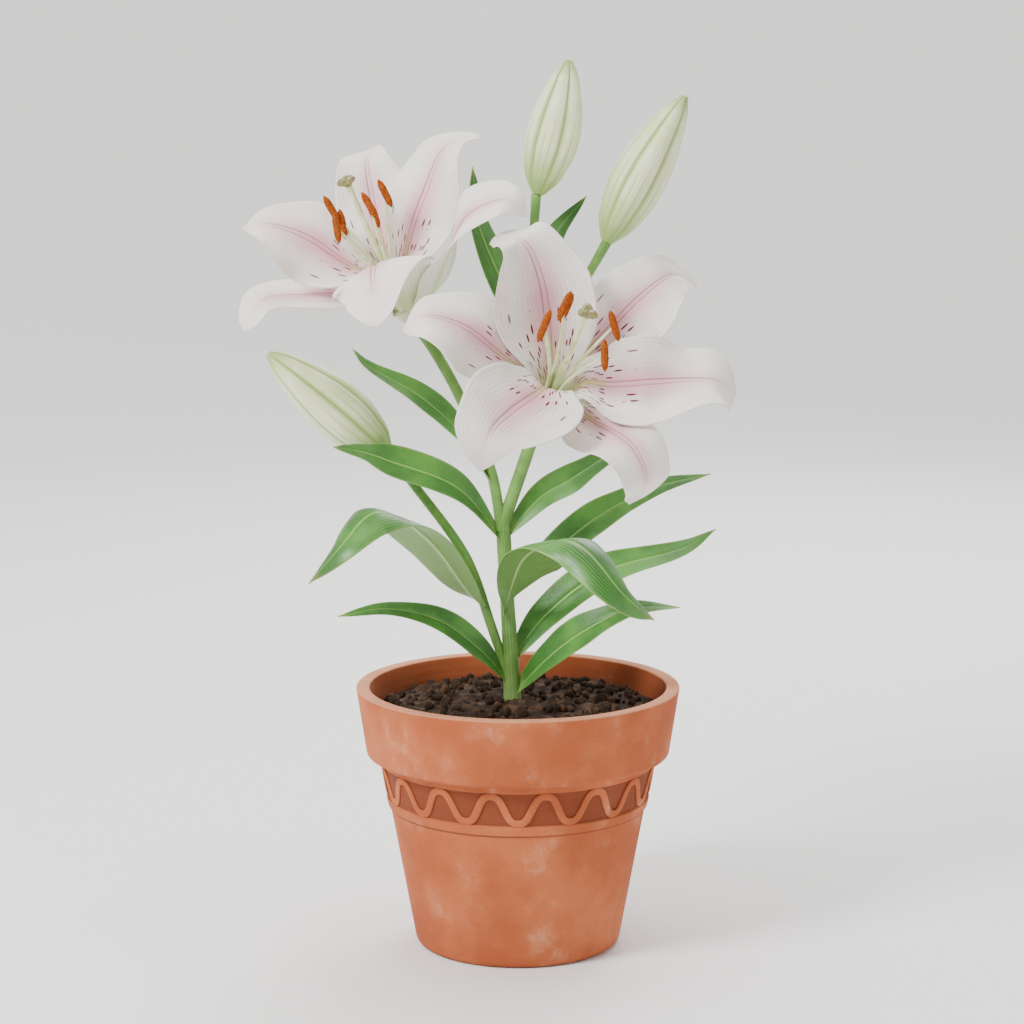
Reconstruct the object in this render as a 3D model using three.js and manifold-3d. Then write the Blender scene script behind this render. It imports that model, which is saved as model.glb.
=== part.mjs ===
// A potted lily: two open flowers and three buds on one forked stem, eleven leaves, the bulb and
// soil it grows from, and a collared clay pot with a wave band in relief.
// Millimetres, +Z up. The origin is the centre of the pot's foot, on the ground.
import * as THREE from 'three';
import { mergeVertices } from 'three/addons/utils/BufferGeometryUtils.js';
import Module from 'manifold-3d';

const wasm = await Module();
wasm.setup();

// Driving dimensions of the pot and what fills it.
const POT_HEIGHT = 146;
const RIM_RADIUS = 90;
const RIM_INNER_RADIUS = 82.5;
const COLLAR_BOTTOM = 108;
const COLLAR_BOTTOM_RADIUS = 84.2;
const BODY_TOP_RADIUS = 76.6;
const FOOT_RADIUS = 57.4;
const FOOT_ROUNDING = 2.6;
const FLOOR_THICKNESS = 9;
const WALL = 6.5;
const DRAIN_RADIUS = 5;
const DRAIN_CIRCLE = 26;
const DRAIN_COUNT = 3;
const DRAIN_SIDES = 10;
const POT_SIDES = 36;
const RELIEF = 1.2;
const LOWER_STRIP = [78.4, 84.4];
const UPPER_STRIP_BOTTOM = 103;
const WAVE_COUNT = 16;
const WAVE_STEPS = 6;
const RIBBON_WIDTH = 4.2;
const RIBBON_SUNK = 2;
const RIBBON_FULLNESS = 0.25;
const GAP = 0.35;
const SOIL_EDGE = 132.5;
const SOIL_MOUND = 5.5;
const SOIL_LUMP = 1.6;
const SOIL_SIDES = 24;
const BULB_BOTTOM = 34;
const BULB_TOP = 79;
const BULB_RADIUS = 27;
const BULB_SIDES = 24;
const SCALE_RELIEF = 0.06;

// Driving dimensions of the plant.
const LEAF_THICKNESS = 0.9;
const TEPAL_THICKNESS = 1;
const LEAST_HALF_WIDTH = 0.5;
const RECEPTACLE_RADIUS = 4.8;
const RECEPTACLE_FLARE = 6.1;
const PISTIL_LENGTH = 78;
const ANTHER_LENGTH = 17;
const ANTHER_RADIUS = 2.4;
const FILAMENT_RADIUS = 0.9;
const STAMEN_RING = { radius: 4.2, hole: 2.4, top: 1.5, sides: 12 };
const STIGMA_SIDES = 18;
const STIGMA_LOBES = 0.28;

const COLOURS = {
  clay: { color: 0xb9673f, roughness: 0.9, metalness: 0 },
  soil: { color: 0x3a2a1f, roughness: 1, metalness: 0 },
  bulb: { color: 0xe9dcb8, roughness: 0.7, metalness: 0 },
  stem: { color: 0x5f8a3a, roughness: 0.5, metalness: 0 },
  leaf: { color: 0x3f7a33, roughness: 0.45, metalness: 0 },
  tepal: { color: 0xf6f1ea, roughness: 0.5, metalness: 0 },
  bud: { color: 0xdfe6bd, roughness: 0.5, metalness: 0 },
  stamen: { color: 0x8a4a1f, roughness: 0.9, metalness: 0 },
  pistil: { color: 0xa9b96a, roughness: 0.5, metalness: 0 },
};

const vec = (x, y, z) => new THREE.Vector3(x, y, z);
const rad = THREE.MathUtils.degToRad;

// The value of evenly spaced rows at s from 0 to 1, on a Catmull-Rom curve through them.
function along(rows, s) {
  const last = rows.length - 1;
  const place = Math.min(Math.max(s, 0), 1) * last;
  const i = Math.min(Math.floor(place), last - 1);
  const t = place - i;
  const b = rows[i];
  const c = rows[i + 1];
  const a = i > 0 ? rows[i - 1] : 2 * b - c;
  const d = i + 2 <= last ? rows[i + 2] : 2 * c - b;
  return b + 0.5 * t * (c - a + t * (2 * a - 5 * b + 4 * c - d + t * (3 * (b - c) + d - a)));
}

const alongPoints = (points, s) =>
  vec(...[0, 1, 2].map((k) => along(points.map((p) => p[k]), s)));

// Point, tangent, side and normal of a path at s. The side starts from one fixed direction.
function frameAt(path, side, s, roll = 0) {
  const step = 1e-3;
  const point = path(s);
  const ahead = path(Math.min(s + step, 1));
  const behind = path(Math.max(s - step, 0));
  const tangent = ahead.sub(behind).normalize();
  const across = side.clone().addScaledVector(tangent, -side.dot(tangent)).normalize();
  const normal = tangent.clone().cross(across);
  const turn = rad(roll);
  return {
    point,
    tangent,
    across: across.clone().multiplyScalar(Math.cos(turn)).addScaledVector(normal, Math.sin(turn)),
    normal: normal.clone().multiplyScalar(Math.cos(turn)).addScaledVector(across, -Math.sin(turn)),
  };
}

// A closed surface through rings of one even count, each counter-clockwise seen from its start.
// Both halves of a ring are split into triangles alike, so a thin blade's faces can't cross.
function loft(rings, joined = false) {
  const count = rings[0].length;
  const half = count / 2;
  const points = rings.flat().flatMap((p) => [p.x, p.y, p.z]);
  const index = [];
  const at = (i, k) => (i % rings.length) * count + (k % count);
  const spans = joined ? rings.length : rings.length - 1;
  for (let i = 0; i < spans; i++) {
    for (let k = 0; k < count; k++) {
      const [p, q, r, s] = [at(i, k), at(i + 1, k), at(i + 1, k + 1), at(i, k + 1)];
      if (k < half) index.push(p, r, q, p, s, r);
      else index.push(p, s, q, q, s, r);
    }
  }
  if (!joined) {
    for (let k = 0; k < half - 1; k++) {
      const [a, b, c, d] = [k, k + 1, count - 2 - k, count - 1 - k];
      const end = rings.length - 1;
      index.push(at(0, a), at(0, d), at(0, b), at(0, b), at(0, d), at(0, c));
      index.push(at(end, a), at(end, b), at(end, d), at(end, b), at(end, c), at(end, d));
    }
  }
  const geometry = new THREE.BufferGeometry();
  geometry.setAttribute('position', new THREE.Float32BufferAttribute(points, 3));
  geometry.setIndex(index);
  return geometry;
}

// A geometry as a solid, turned right side out if its faces point inwards.
function solidOf(geometry) {
  const bare = geometry.clone();
  bare.deleteAttribute('normal');
  bare.deleteAttribute('uv');
  const merged = mergeVertices(bare, 1e-4);
  const corners = merged.index.array;
  const faces = [];
  for (let i = 0; i < corners.length; i += 3) {
    const [a, b, c] = corners.slice(i, i + 3);
    if (a !== b && b !== c && c !== a) faces.push([a, b, c]);
  }
  const make = (list) =>
    new wasm.Manifold(
      new wasm.Mesh({
        numProp: 3,
        vertProperties: merged.attributes.position.array,
        triVerts: new Uint32Array(list.flat()),
      }),
    );
  const solid = make(faces);
  return solid.volume() > 0 ? solid : make(faces.map(([a, b, c]) => [a, c, b]));
}

// What is left of a solid once another is cut away, without any sliver that came loose.
function cutBy(solid, cutter) {
  const bodies = solid.subtract(cutter).decompose();
  return bodies.reduce((best, one) => (one.volume() > best.volume() ? one : best));
}

function meshOf(name, solid, finish) {
  const { vertProperties, triVerts } = solid.getMesh();
  const geometry = new THREE.BufferGeometry();
  geometry.setAttribute('position', new THREE.BufferAttribute(new Float32Array(vertProperties), 3));
  geometry.setIndex(new THREE.BufferAttribute(new Uint32Array(triVerts), 1));
  geometry.computeVertexNormals();
  const mesh = new THREE.Mesh(geometry, new THREE.MeshStandardMaterial(COLOURS[finish]));
  mesh.name = name;
  return mesh;
}

// A round rod along points, with radii spaced evenly along it. grow makes it larger all over.
function rod({ through, radii, steps, sides = 8, side = vec(0, 1, 0), grow = 0 }) {
  const path = (s) => alongPoints(through, s);
  const rings = [];
  for (let i = 0; i <= steps; i++) {
    const s = i / steps;
    const { point, tangent, across, normal } = frameAt(path, side, s);
    if (i === 0) point.addScaledVector(tangent, -grow);
    if (i === steps) point.addScaledVector(tangent, grow);
    const radius = along(radii, s) + grow;
    rings.push(
      Array.from({ length: sides }, (_, k) => {
        const angle = (2 * Math.PI * k) / sides;
        return point
          .clone()
          .addScaledVector(across, radius * Math.cos(angle))
          .addScaledVector(normal, radius * Math.sin(angle));
      }),
    );
  }
  return solidOf(loft(rings));
}

// A thin blade along a path. Its half widths follow two rows, left and right of the midrib. Each
// cross-section is an arc that turns by cup degrees to the edge, and the margin waves up and down.
function blade({ path, side, left, right, cup, roll, wave, waves, phase, thickness, steps, columns }) {
  const widest = Math.max(...left, ...right);
  const rings = [];
  for (let i = 0; i <= steps; i++) {
    const s = i / steps;
    const { point, across, normal } = frameAt(path, side, s, along(roll, s));
    const turn = rad(along(cup, s)) || 1e-4;
    const row = [];
    for (let j = 0; j <= columns; j++) {
      const x = (2 * j) / columns - 1;
      const half = Math.max(along(x < 0 ? left : right, s), LEAST_HALF_WIDTH);
      const ripple = wave * Math.sin(2 * Math.PI * (waves * s + phase) + 2 * Math.sign(x));
      const lift = (half * (1 - Math.cos(turn * x))) / turn + (ripple * Math.abs(x) ** 3 * half) / widest;
      row.push(
        point
          .clone()
          .addScaledVector(across, (half * Math.sin(turn * x)) / turn)
          .addScaledVector(normal, lift),
      );
    }
    const upper = row.map((p) => p.clone().addScaledVector(normal, thickness / 2));
    const lower = row.map((p) => p.clone().addScaledVector(normal, -thickness / 2));
    rings.push([...upper, ...lower.reverse()]);
  }
  return solidOf(loft(rings));
}

// The pot

const slope = (z) =>
  FOOT_RADIUS + ((BODY_TOP_RADIUS - FOOT_RADIUS) * (z - FOOT_ROUNDING)) / (COLLAR_BOTTOM - FOOT_ROUNDING);

// The inside of the pot from the floor up, as [radius, height].
const INSIDE = [
  [slope(0) - WALL - 2.5, FLOOR_THICKNESS],
  [slope(0) - WALL, FLOOR_THICKNESS + 3],
  [slope(COLLAR_BOTTOM) - WALL, COLLAR_BOTTOM - 2],
  [RIM_INNER_RADIUS - 2, POT_HEIGHT - 15],
  [RIM_INNER_RADIUS, POT_HEIGHT - 1],
];

function potBody() {
  const bevel = 0.7;
  const outline = [
    [0, 0],
    [FOOT_RADIUS - FOOT_ROUNDING, 0],
    [FOOT_RADIUS, FOOT_ROUNDING],
    [slope(LOWER_STRIP[0]), LOWER_STRIP[0]],
    [slope(LOWER_STRIP[0]) + RELIEF, LOWER_STRIP[0] + bevel],
    [slope(LOWER_STRIP[1]) + RELIEF, LOWER_STRIP[1] - bevel],
    [slope(LOWER_STRIP[1]), LOWER_STRIP[1]],
    [slope(UPPER_STRIP_BOTTOM), UPPER_STRIP_BOTTOM],
    [slope(UPPER_STRIP_BOTTOM) + RELIEF, UPPER_STRIP_BOTTOM + bevel],
    [slope(COLLAR_BOTTOM) + RELIEF, COLLAR_BOTTOM],
    [COLLAR_BOTTOM_RADIUS - 1, COLLAR_BOTTOM],
    [COLLAR_BOTTOM_RADIUS + 0.4, COLLAR_BOTTOM + 2],
    [RIM_RADIUS, POT_HEIGHT - 1.5],
    [RIM_RADIUS - 1.2, POT_HEIGHT],
    [RIM_INNER_RADIUS + 1, POT_HEIGHT],
    ...INSIDE.toReversed(),
    [0, FLOOR_THICKNESS],
  ];
  const profile = outline.map(([r, z]) => new THREE.Vector2(r, z));
  const body = solidOf(new THREE.LatheGeometry(profile, POT_SIDES).rotateX(Math.PI / 2));
  const drain = new THREE.CylinderGeometry(DRAIN_RADIUS, DRAIN_RADIUS, 3 * FLOOR_THICKNESS, DRAIN_SIDES);
  drain.rotateX(Math.PI / 2).translate(0, DRAIN_CIRCLE, 0);
  const turn = (2 * Math.PI) / DRAIN_COUNT;
  return Array.from({ length: DRAIN_COUNT }, (_, k) => drain.clone().rotateZ(k * turn))
    .reduce((whole, hole) => whole.subtract(solidOf(hole)), body);
}

// The raised ribbon that waves round the pot between the two strips, with a trough at the front.
// Its waves are fuller than a cosine: broader at the crests and steeper between them.
function waveRibbon() {
  const middle = (LOWER_STRIP[1] + UPPER_STRIP_BOTTOM) / 2;
  const swing = (UPPER_STRIP_BOTTOM - LOWER_STRIP[1] - RIBBON_WIDTH) / 2 + 0.5;
  const count = WAVE_COUNT * WAVE_STEPS;
  const meanRadius = slope(middle);
  const height = (angle) => {
    const c = Math.cos(WAVE_COUNT * angle);
    return middle - swing * (c + RIBBON_FULLNESS * (c - c ** 3));
  };
  const rings = [];
  for (let i = 0; i < count; i++) {
    const angle = (2 * Math.PI * i) / count;
    const c = Math.cos(WAVE_COUNT * angle);
    const steepness = 1 + RIBBON_FULLNESS * (1 - 3 * c * c);
    const climb = (swing * WAVE_COUNT * Math.sin(WAVE_COUNT * angle) * steepness) / meanRadius;
    const flat = 1 / Math.hypot(1, climb);
    const edge = (share, proud) => {
      const away = (share * RIBBON_WIDTH) / 2;
      const z = height(angle) + away * flat;
      const at = angle - Math.PI / 2 - (away * climb * flat) / meanRadius;
      const radius = slope(z) + proud;
      return vec(radius * Math.cos(at), radius * Math.sin(at), z);
    };
    rings.push([edge(-1, -RIBBON_SUNK), edge(-1, RELIEF), edge(1, RELIEF), edge(1, -RIBBON_SUNK)]);
  }
  return solidOf(loft(rings, true));
}

// What is in the pot

// A full turn of points at one height, with a radius and a rise that may change round the turn.
function turnOf(sides, radius, height) {
  return Array.from({ length: sides }, (_, k) => {
    const angle = (2 * Math.PI * k) / sides;
    const r = typeof radius === 'function' ? radius(angle) : radius;
    const z = typeof height === 'function' ? height(angle) : height;
    return vec(r * Math.cos(angle), r * Math.sin(angle), z);
  });
}

// Soil to a little under the rim, mounded towards the stem, with a lumpy top.
function soilBody() {
  const inside = INSIDE.slice(0, 3).map(([r, z]) => turnOf(SOIL_SIDES, r - GAP, z + GAP));
  const edgeRadius = RIM_INNER_RADIUS - 2 - GAP;
  const shares = [1, 0.85, 0.7, 0.55, 0.4, 0.22, 0.03];
  const top = shares.map((share, ring) => {
    const lump = (angle) =>
      SOIL_LUMP *
      (Math.sin(7 * angle + 2.1 * ring) * 0.5 + Math.sin(11 * angle - 3.3 * ring) * 0.35 +
        Math.sin(5 * angle + 5 * ring) * 0.3);
    const fade = Math.min(1, (1 - share) * 5) * Math.min(1, share * 6);
    const height = (angle) =>
      SOIL_EDGE - 1 + SOIL_MOUND * (1 - share * share) + fade * lump(angle);
    return turnOf(SOIL_SIDES, edgeRadius * share, height);
  });
  return solidOf(loft([...inside, ...top]));
}

// A scaly bulb: whorls of scales, each whorl set half a scale round from the one below.
function bulbBody(grow = 0) {
  const levels = 9;
  const scales = 6;
  const rings = [];
  for (let i = 0; i <= levels; i++) {
    const s = i / levels;
    const belly = BULB_RADIUS * (0.3 + 0.7 * Math.sin(Math.PI * Math.min(1, s * 0.8 + 0.18)) ** 0.8);
    const relief = SCALE_RELIEF * Math.sin(Math.PI * s);
    const radius = (angle) =>
      belly * (1 + relief * Math.cos(scales * angle + Math.PI * (i % 2))) + grow;
    const z = BULB_BOTTOM + (BULB_TOP - BULB_BOTTOM) * s + (i === 0 ? -grow : 0) + (i === levels ? grow : 0);
    rings.push(turnOf(BULB_SIDES, radius, z));
  }
  return solidOf(loft(rings));
}

// Flowers: where each one's receptacle is, which way it faces, and its six tepals and stamens.
// A tepal's stations are [distance from the flower's axis, height along it] from base to tip, and
// its half widths on either side of the midrib are evenly spaced along it.

const FLOWERS = [
  {
    name: 'flower_left',
    base: vec(-63.6, 24, 353.8),
    axis: vec(-0.387, -0.166, 0.907),
    tepals: [
      { whorl: 'inner', name: 'left', turn: [175, 182], roll: [0, -15, -55, -30, -15],
        arch: [[5.9, -0.8], [9, 23], [18, 35], [33, 58], [49, 72], [63, 76]],
        left: [2, 4, 6.5, 12, 20.5, 16, 10.5, 1], right: [2, 7.5, 17.5, 24.5, 28.5, 28.5, 21.5, 5] },
      { whorl: 'outer', name: 'low_left', turn: [192, 196], roll: [0, -15, -15, -15, -35],
        arch: [[6.8, -2], [13, 17], [27, 22], [46, 30], [69, 38], [85, 27]],
        left: [2, 7, 13, 17.5, 18.5, 17, 15, 5], right: [2, 7.5, 14.5, 22.5, 26.5, 24.5, 16.5, 1] },
      { whorl: 'outer', name: 'back', turn: [91, 80], roll: [0, 10, 15, 15, 0],
        arch: [[6.8, -2], [12, 20], [24, 36], [40, 56], [56, 73], [81, 75]],
        left: [2, 6.5, 12.5, 18, 20.5, 18.5, 10.5, 1], right: [2, 6.5, 13, 18.5, 21, 18, 12, 1] },
      { whorl: 'inner', name: 'right', turn: [42, 36], roll: [0, 45, 50, 10, 15],
        arch: [[5.9, -0.8], [10, 17], [23, 33], [42, 49], [66, 66], [90, 62]],
        left: [2, 7, 15.5, 22.5, 24.5, 23, 15.5, 1], right: [2, 5, 9.5, 16, 20.5, 21, 17, 8] },
      { whorl: 'outer', name: 'low_right', turn: [336, 340], roll: [-10, -20, 20, 15, 10],
        arch: [[6.8, -2], [22, 5], [40, 23], [60, 39], [84, 41], [92, 28]],
        left: [2, 7, 13.5, 18.5, 20.5, 18, 11.5, 1], right: [2, 7, 14, 20, 22, 17.5, 11, 1] },
      { whorl: 'inner', name: 'front', cup: 'bentBack', turn: [281, 263], roll: [0, -20, -10, 25, 10],
        arch: [[5.9, -0.8], [23, 24], [26, 29], [35, 36], [49, 29], [67, 12]],
        left: [3.5, 10, 16, 26.5, 30.5, 29, 20.5, 3.5], right: [3.5, 16, 18, 25, 33.5, 29, 18.5, 6] },
    ],
    stamens: [
      { turn: 175, reach: 14, height: 66, tilt: [-0.5, 0, 0.86] },
      { turn: 221, reach: 18, height: 58, tilt: [-0.15, 0, 0.98] },
      { turn: 309, reach: 12, height: 62, tilt: [-0.5, 0, 0.85] },
      { turn: 19, reach: 17, height: 62, tilt: [-0.45, 0, 0.9] },
      { turn: 75, reach: 16, height: 52, tilt: [-0.4, 0.3, 0.9] },
      { turn: 172, reach: 12, height: 56, tilt: [-0.2, 0, 0.98] },
    ],
    stigma: { turn: 280, reach: 5 },
  },
  {
    name: 'flower_right',
    base: vec(15.1, -22, 304.9),
    axis: vec(0.283, -0.609, 0.741),
    tepals: [
      { whorl: 'inner', name: 'top', turn: [100, 134], roll: [0, -10, -15, 0, -30],
        arch: [[5.9, -0.8], [10, 17], [22, 34], [39, 58], [57, 72], [71, 60]],
        left: [2, 8.5, 18.5, 26, 26, 20, 16.5, 8.5], right: [2, 8, 20.5, 30, 32.5, 28, 18, 1] },
      { whorl: 'outer', name: 'high_right', turn: [57, 44], roll: [0, 10, 15, 10, 20],
        arch: [[6.8, -2], [17, 18], [36, 34], [57, 52], [77, 61], [105, 41]],
        left: [2, 7.5, 15, 22, 24.5, 19, 10, 1], right: [2, 7.5, 14, 19.5, 21, 16.5, 12.5, 4.5] },
      { whorl: 'inner', name: 'right', turn: [347, 364], roll: [0, 15, 20, -15, 25],
        arch: [[5.9, -0.8], [13, 24], [28, 29], [54, 39], [79, 43], [98, 32]],
        left: [2, 7, 18.5, 29, 31, 29, 20, 3.5], right: [2, 8, 16.5, 24, 26, 26.5, 21.5, 5.5] },
      { whorl: 'outer', name: 'low_right', turn: [313, 306], roll: [0, 10, 10, -10, 10],
        arch: [[6.8, -2], [15, 12], [33, 21], [60, 31], [78, 22], [76, 2]],
        left: [2, 7.5, 16.5, 25, 27.5, 23.5, 15, 1], right: [2, 7, 12.5, 17, 19.5, 18.5, 14, 1.5] },
      { whorl: 'inner', name: 'front', turn: [230, 240], roll: [0, 10, 0, -15, -30],
        arch: [[5.9, -0.8], [11, 22], [25, 27], [54, 36], [80, 41], [82, 15]],
        left: [2, 7, 15.5, 23, 27.5, 25, 16.5, 1.5], right: [2, 8.5, 19.5, 31, 31.5, 22, 13, 2.5] },
      { whorl: 'outer', name: 'left', turn: [172, 177], roll: [0, -15, -25, 0, -15],
        arch: [[6.8, -2], [17, 17], [36, 29], [58, 41], [79, 42], [88, 29]],
        left: [2, 7, 13.5, 19.5, 21, 16, 11, 1], right: [2, 7, 14.5, 22, 26, 23, 15.5, 2] },
    ],
    stamens: [
      { turn: 190, reach: 20, height: 62, tilt: [0.37, 0, 0.93] },
      { turn: 128, reach: 15, height: 64, tilt: [0.4, 0, 0.91] },
      { turn: 20, reach: 20, height: 62, tilt: [-0.28, 0, 0.96] },
      { turn: 313, reach: 20, height: 60, tilt: [-0.02, 0, 1] },
      { turn: 108, reach: 19, height: 57, tilt: [0.4, 0, 0.91] },
      { turn: 170, reach: 18, height: 54, tilt: [0.37, 0, 0.93] },
    ],
    stigma: { turn: 253, reach: 5 },
  },
];

// How far a cross-section turns from midrib to edge, in degrees, from base to tip.
const CUPS = {
  inner: [14, 40, 40, 28, 18, 12, 8],
  outer: [14, 18, 14, 10, 8, 8, 8],
  bentBack: [14, 30, 5, -25, -30, -20, -10],
  leaf: [30, 22, 16, 12, 10],
  leftFold: [30, 5, -5, -25, -50, -25, -25],
  rightFold: [0, -15, -30, -40, -50, -25, -5],
};
const TEPAL_WAVE = { wave: 2.2, waves: 1.6 };
const LEAF_WAVE = { wave: 0.8, waves: 1.5, phase: 0 };

// A flower's own frame: turn 0 is to the right, and turn 90 is away from the front.
function flowerFrame({ base, axis }) {
  const up = axis.clone().normalize();
  const right = vec(1, 0, 0).addScaledVector(up, -up.x).normalize();
  const away = up.clone().cross(right);
  const outward = (turn) =>
    right.clone().multiplyScalar(Math.cos(rad(turn))).addScaledVector(away, Math.sin(rad(turn)));
  const at = (turn, reach, height) =>
    base.clone().addScaledVector(up, height).addScaledVector(outward(turn), reach);
  return { up, outward, at };
}

function tepal(flower, { whorl, turn, arch, roll, left, right, cup = whorl }) {
  const { up, outward, at } = flowerFrame(flower);
  const path = (s) =>
    at(along(turn, s), along(arch.map((p) => p[0]), s), along(arch.map((p) => p[1]), s));
  return blade({
    path,
    side: up.clone().cross(outward((turn[0] + turn[1]) / 2)),
    left,
    right,
    cup: CUPS[cup],
    roll,
    ...TEPAL_WAVE,
    phase: turn[0] / 120,
    thickness: TEPAL_THICKNESS,
    steps: 12,
    columns: 6,
  });
}

// Six filaments that stand on one small ring, each with its anther held across its tip.
function stamens(flower) {
  const { at, up, outward } = flowerFrame(flower);
  const { radius: size, hole, top, sides } = STAMEN_RING;
  const around = (radius, height) =>
    Array.from({ length: sides }, (_, k) => at((360 * k) / sides, radius, height));
  const disc = solidOf(loft([around(size, GAP), around(size, top)]));
  const opening = solidOf(loft([around(hole, -1), around(hole, top + 1)]));
  return flower.stamens.reduce((whole, { turn, reach, height, tilt }) => {
    const through = [[3.3, 0.8], [4.6, 20], [reach * 0.5, height * 0.62], [reach, height]]
      .map(([r, h]) => at(turn, r, h).toArray());
    const filament = rod({
      through, radii: [0.9, FILAMENT_RADIUS, 0.7], steps: 5, sides: 5, side: up.clone().cross(outward(turn)),
    });
    const lie = vec(...tilt).normalize().multiplyScalar(ANTHER_LENGTH / 2);
    const middle = at(turn, reach, height);
    const anther = rod({
      through: [middle.clone().sub(lie).toArray(), middle.toArray(), middle.clone().add(lie).toArray()],
      radii: [0.9, ANTHER_RADIUS, ANTHER_RADIUS, ANTHER_RADIUS, 0.9],
      steps: 4,
      sides: 6,
      side: vec(0, 1, 0),
    });
    return whole.add(filament).add(anther);
  }, disc.subtract(opening));
}

// Ovary, style and a three-lobed stigma.
function pistil(flower) {
  const { at, up, outward } = flowerFrame(flower);
  const { turn, reach } = flower.stigma;
  const spots = [[0, GAP], [0.4, 18], [reach * 0.3, 40], [reach * 0.65, 60], [reach, PISTIL_LENGTH]];
  const column = rod({
    through: spots.map(([r, h]) => at(turn, r, h).toArray()),
    radii: [1.6, 1.9, 1.5, 1.3, 1.3, 1.5, 2],
    steps: 7,
    sides: 6,
    side: up.clone().cross(outward(turn)),
  });
  const top = at(turn, reach, PISTIL_LENGTH);
  const lobed = (size, rise) =>
    Array.from({ length: STIGMA_SIDES }, (_, k) => {
      const angle = (360 * k) / STIGMA_SIDES;
      const radius = size * (1 + STIGMA_LOBES * Math.cos(3 * rad(angle)));
      return top.clone().addScaledVector(up, rise).addScaledVector(outward(angle + 90), radius);
    });
  const stigma = solidOf(loft([lobed(2.2, -2.5), lobed(4.6, 0.2), lobed(4.2, 2), lobed(1.6, 2.8)]));
  return column.add(stigma);
}

// Buds: base, middle, tip and greatest radius. Three outer tepals meet in seams, each with a
// raised rib, so that the cross-section is faintly three-sided.

const BUDS = [
  { name: 'bud_top', radius: 14.5, spin: 100,
    through: [[11, 18, 417], [21.5, 16, 454], [28, 14, 489.5]] },
  { name: 'bud_right', radius: 15, spin: 80,
    through: [[48.5, 18, 391], [69, 16, 430], [91, 14, 470]] },
  { name: 'bud_left', radius: 15.5, spin: 60,
    through: [[-71.5, 0, 275], [-103, -3, 303], [-136, -6, 331.5]] },
];
const BUD_SIDES = 15;
const BUD_STEPS = 9;
const BUD_FACET = 0.07;
const BUD_OUTLINE = [0.24, 0.65, 0.85, 0.98, 1, 0.95, 0.83, 0.66, 0.46, 0.11];

function bud({ through, radius, spin }) {
  const path = (s) => alongPoints(through, s);
  const rings = [];
  for (let i = 0; i <= BUD_STEPS; i++) {
    const s = i / BUD_STEPS;
    const { point, across, normal } = frameAt(path, vec(0, 1, 0), s);
    rings.push(
      Array.from({ length: BUD_SIDES }, (_, k) => {
        const angle = (2 * Math.PI * k) / BUD_SIDES;
        const facet = 1 + BUD_FACET * Math.cos(3 * (angle - rad(spin)));
        const size = radius * along(BUD_OUTLINE, s) * facet;
        return point
          .clone()
          .addScaledVector(across, size * Math.cos(angle))
          .addScaledVector(normal, size * Math.sin(angle));
      }),
    );
  }
  return solidOf(loft(rings));
}

// Stems: the main stem forks, and pedicels carry the flowers and buds.

const STEMS = [
  {
    through: [[-3, 0, 73], [-3, 0, 105], [-3, 0, 137], [-4.5, 0, 170], [-6.5, 0, 203], [-8, 0, 236]],
    radii: [4.4, 4.8, 5, 4.3, 3.9, 3.9],
    steps: 8,
  },
  {
    through: [
      [-9, 0, 232], [-15, 2, 266], [-32, 9, 306], [-49, 18, 335], [-61.7, 24.8, 349.3],
      [-62.6, 24.4, 351.5], [-63.6, 24, 353.8],
    ],
    radii: [3, 3, 3, 3.1, 3.6, RECEPTACLE_FLARE, RECEPTACLE_RADIUS],
    steps: 12,
  },
  {
    through: [
      [-9, 0, 232], [-6, 1, 243], [7, 5, 281], [15, 14, 305], [17, 20, 331], [13, 22, 358],
      [9, 20, 392], [10, 18, 417],
    ],
    radii: [3.8, 3.6, 3.6, 3.5, 3.2, 2.8, 2.5, 2.8],
    steps: 14,
  },
  {
    through: [
      [7, 5, 280], [11, 4, 291], [13, -9, 296], [13.7, -18.9, 301.2], [14.4, -20.5, 303],
      [15.1, -22, 304.9],
    ],
    radii: [2.8, 3, 3, 3.6, RECEPTACLE_FLARE, RECEPTACLE_RADIUS],
    steps: 10,
    side: vec(1, 0, 0),
  },
  {
    through: [[16, 21, 332], [24, 22, 348], [39, 20, 373], [49, 18, 391]],
    radii: [2.6, 2.5, 2.5, 2.9],
    steps: 6,
  },
  {
    through: [[-6, 0, 152], [-15, -1, 180], [-29, -2, 219], [-56, -1, 257], [-71, 0, 275]],
    radii: [2.4, 2.7, 2.7, 2.6, 2.9],
    steps: 10,
  },
];

const stemSolid = (grow) =>
  STEMS.map((stem) => rod({ ...stem, grow })).reduce((whole, piece) => whole.add(piece));

// Leaves: points from the stem out to the tip, and a roll in degrees along the blade. Most share
// one outline, as shares of half their width. The two folded ones have half widths of their own.

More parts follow.
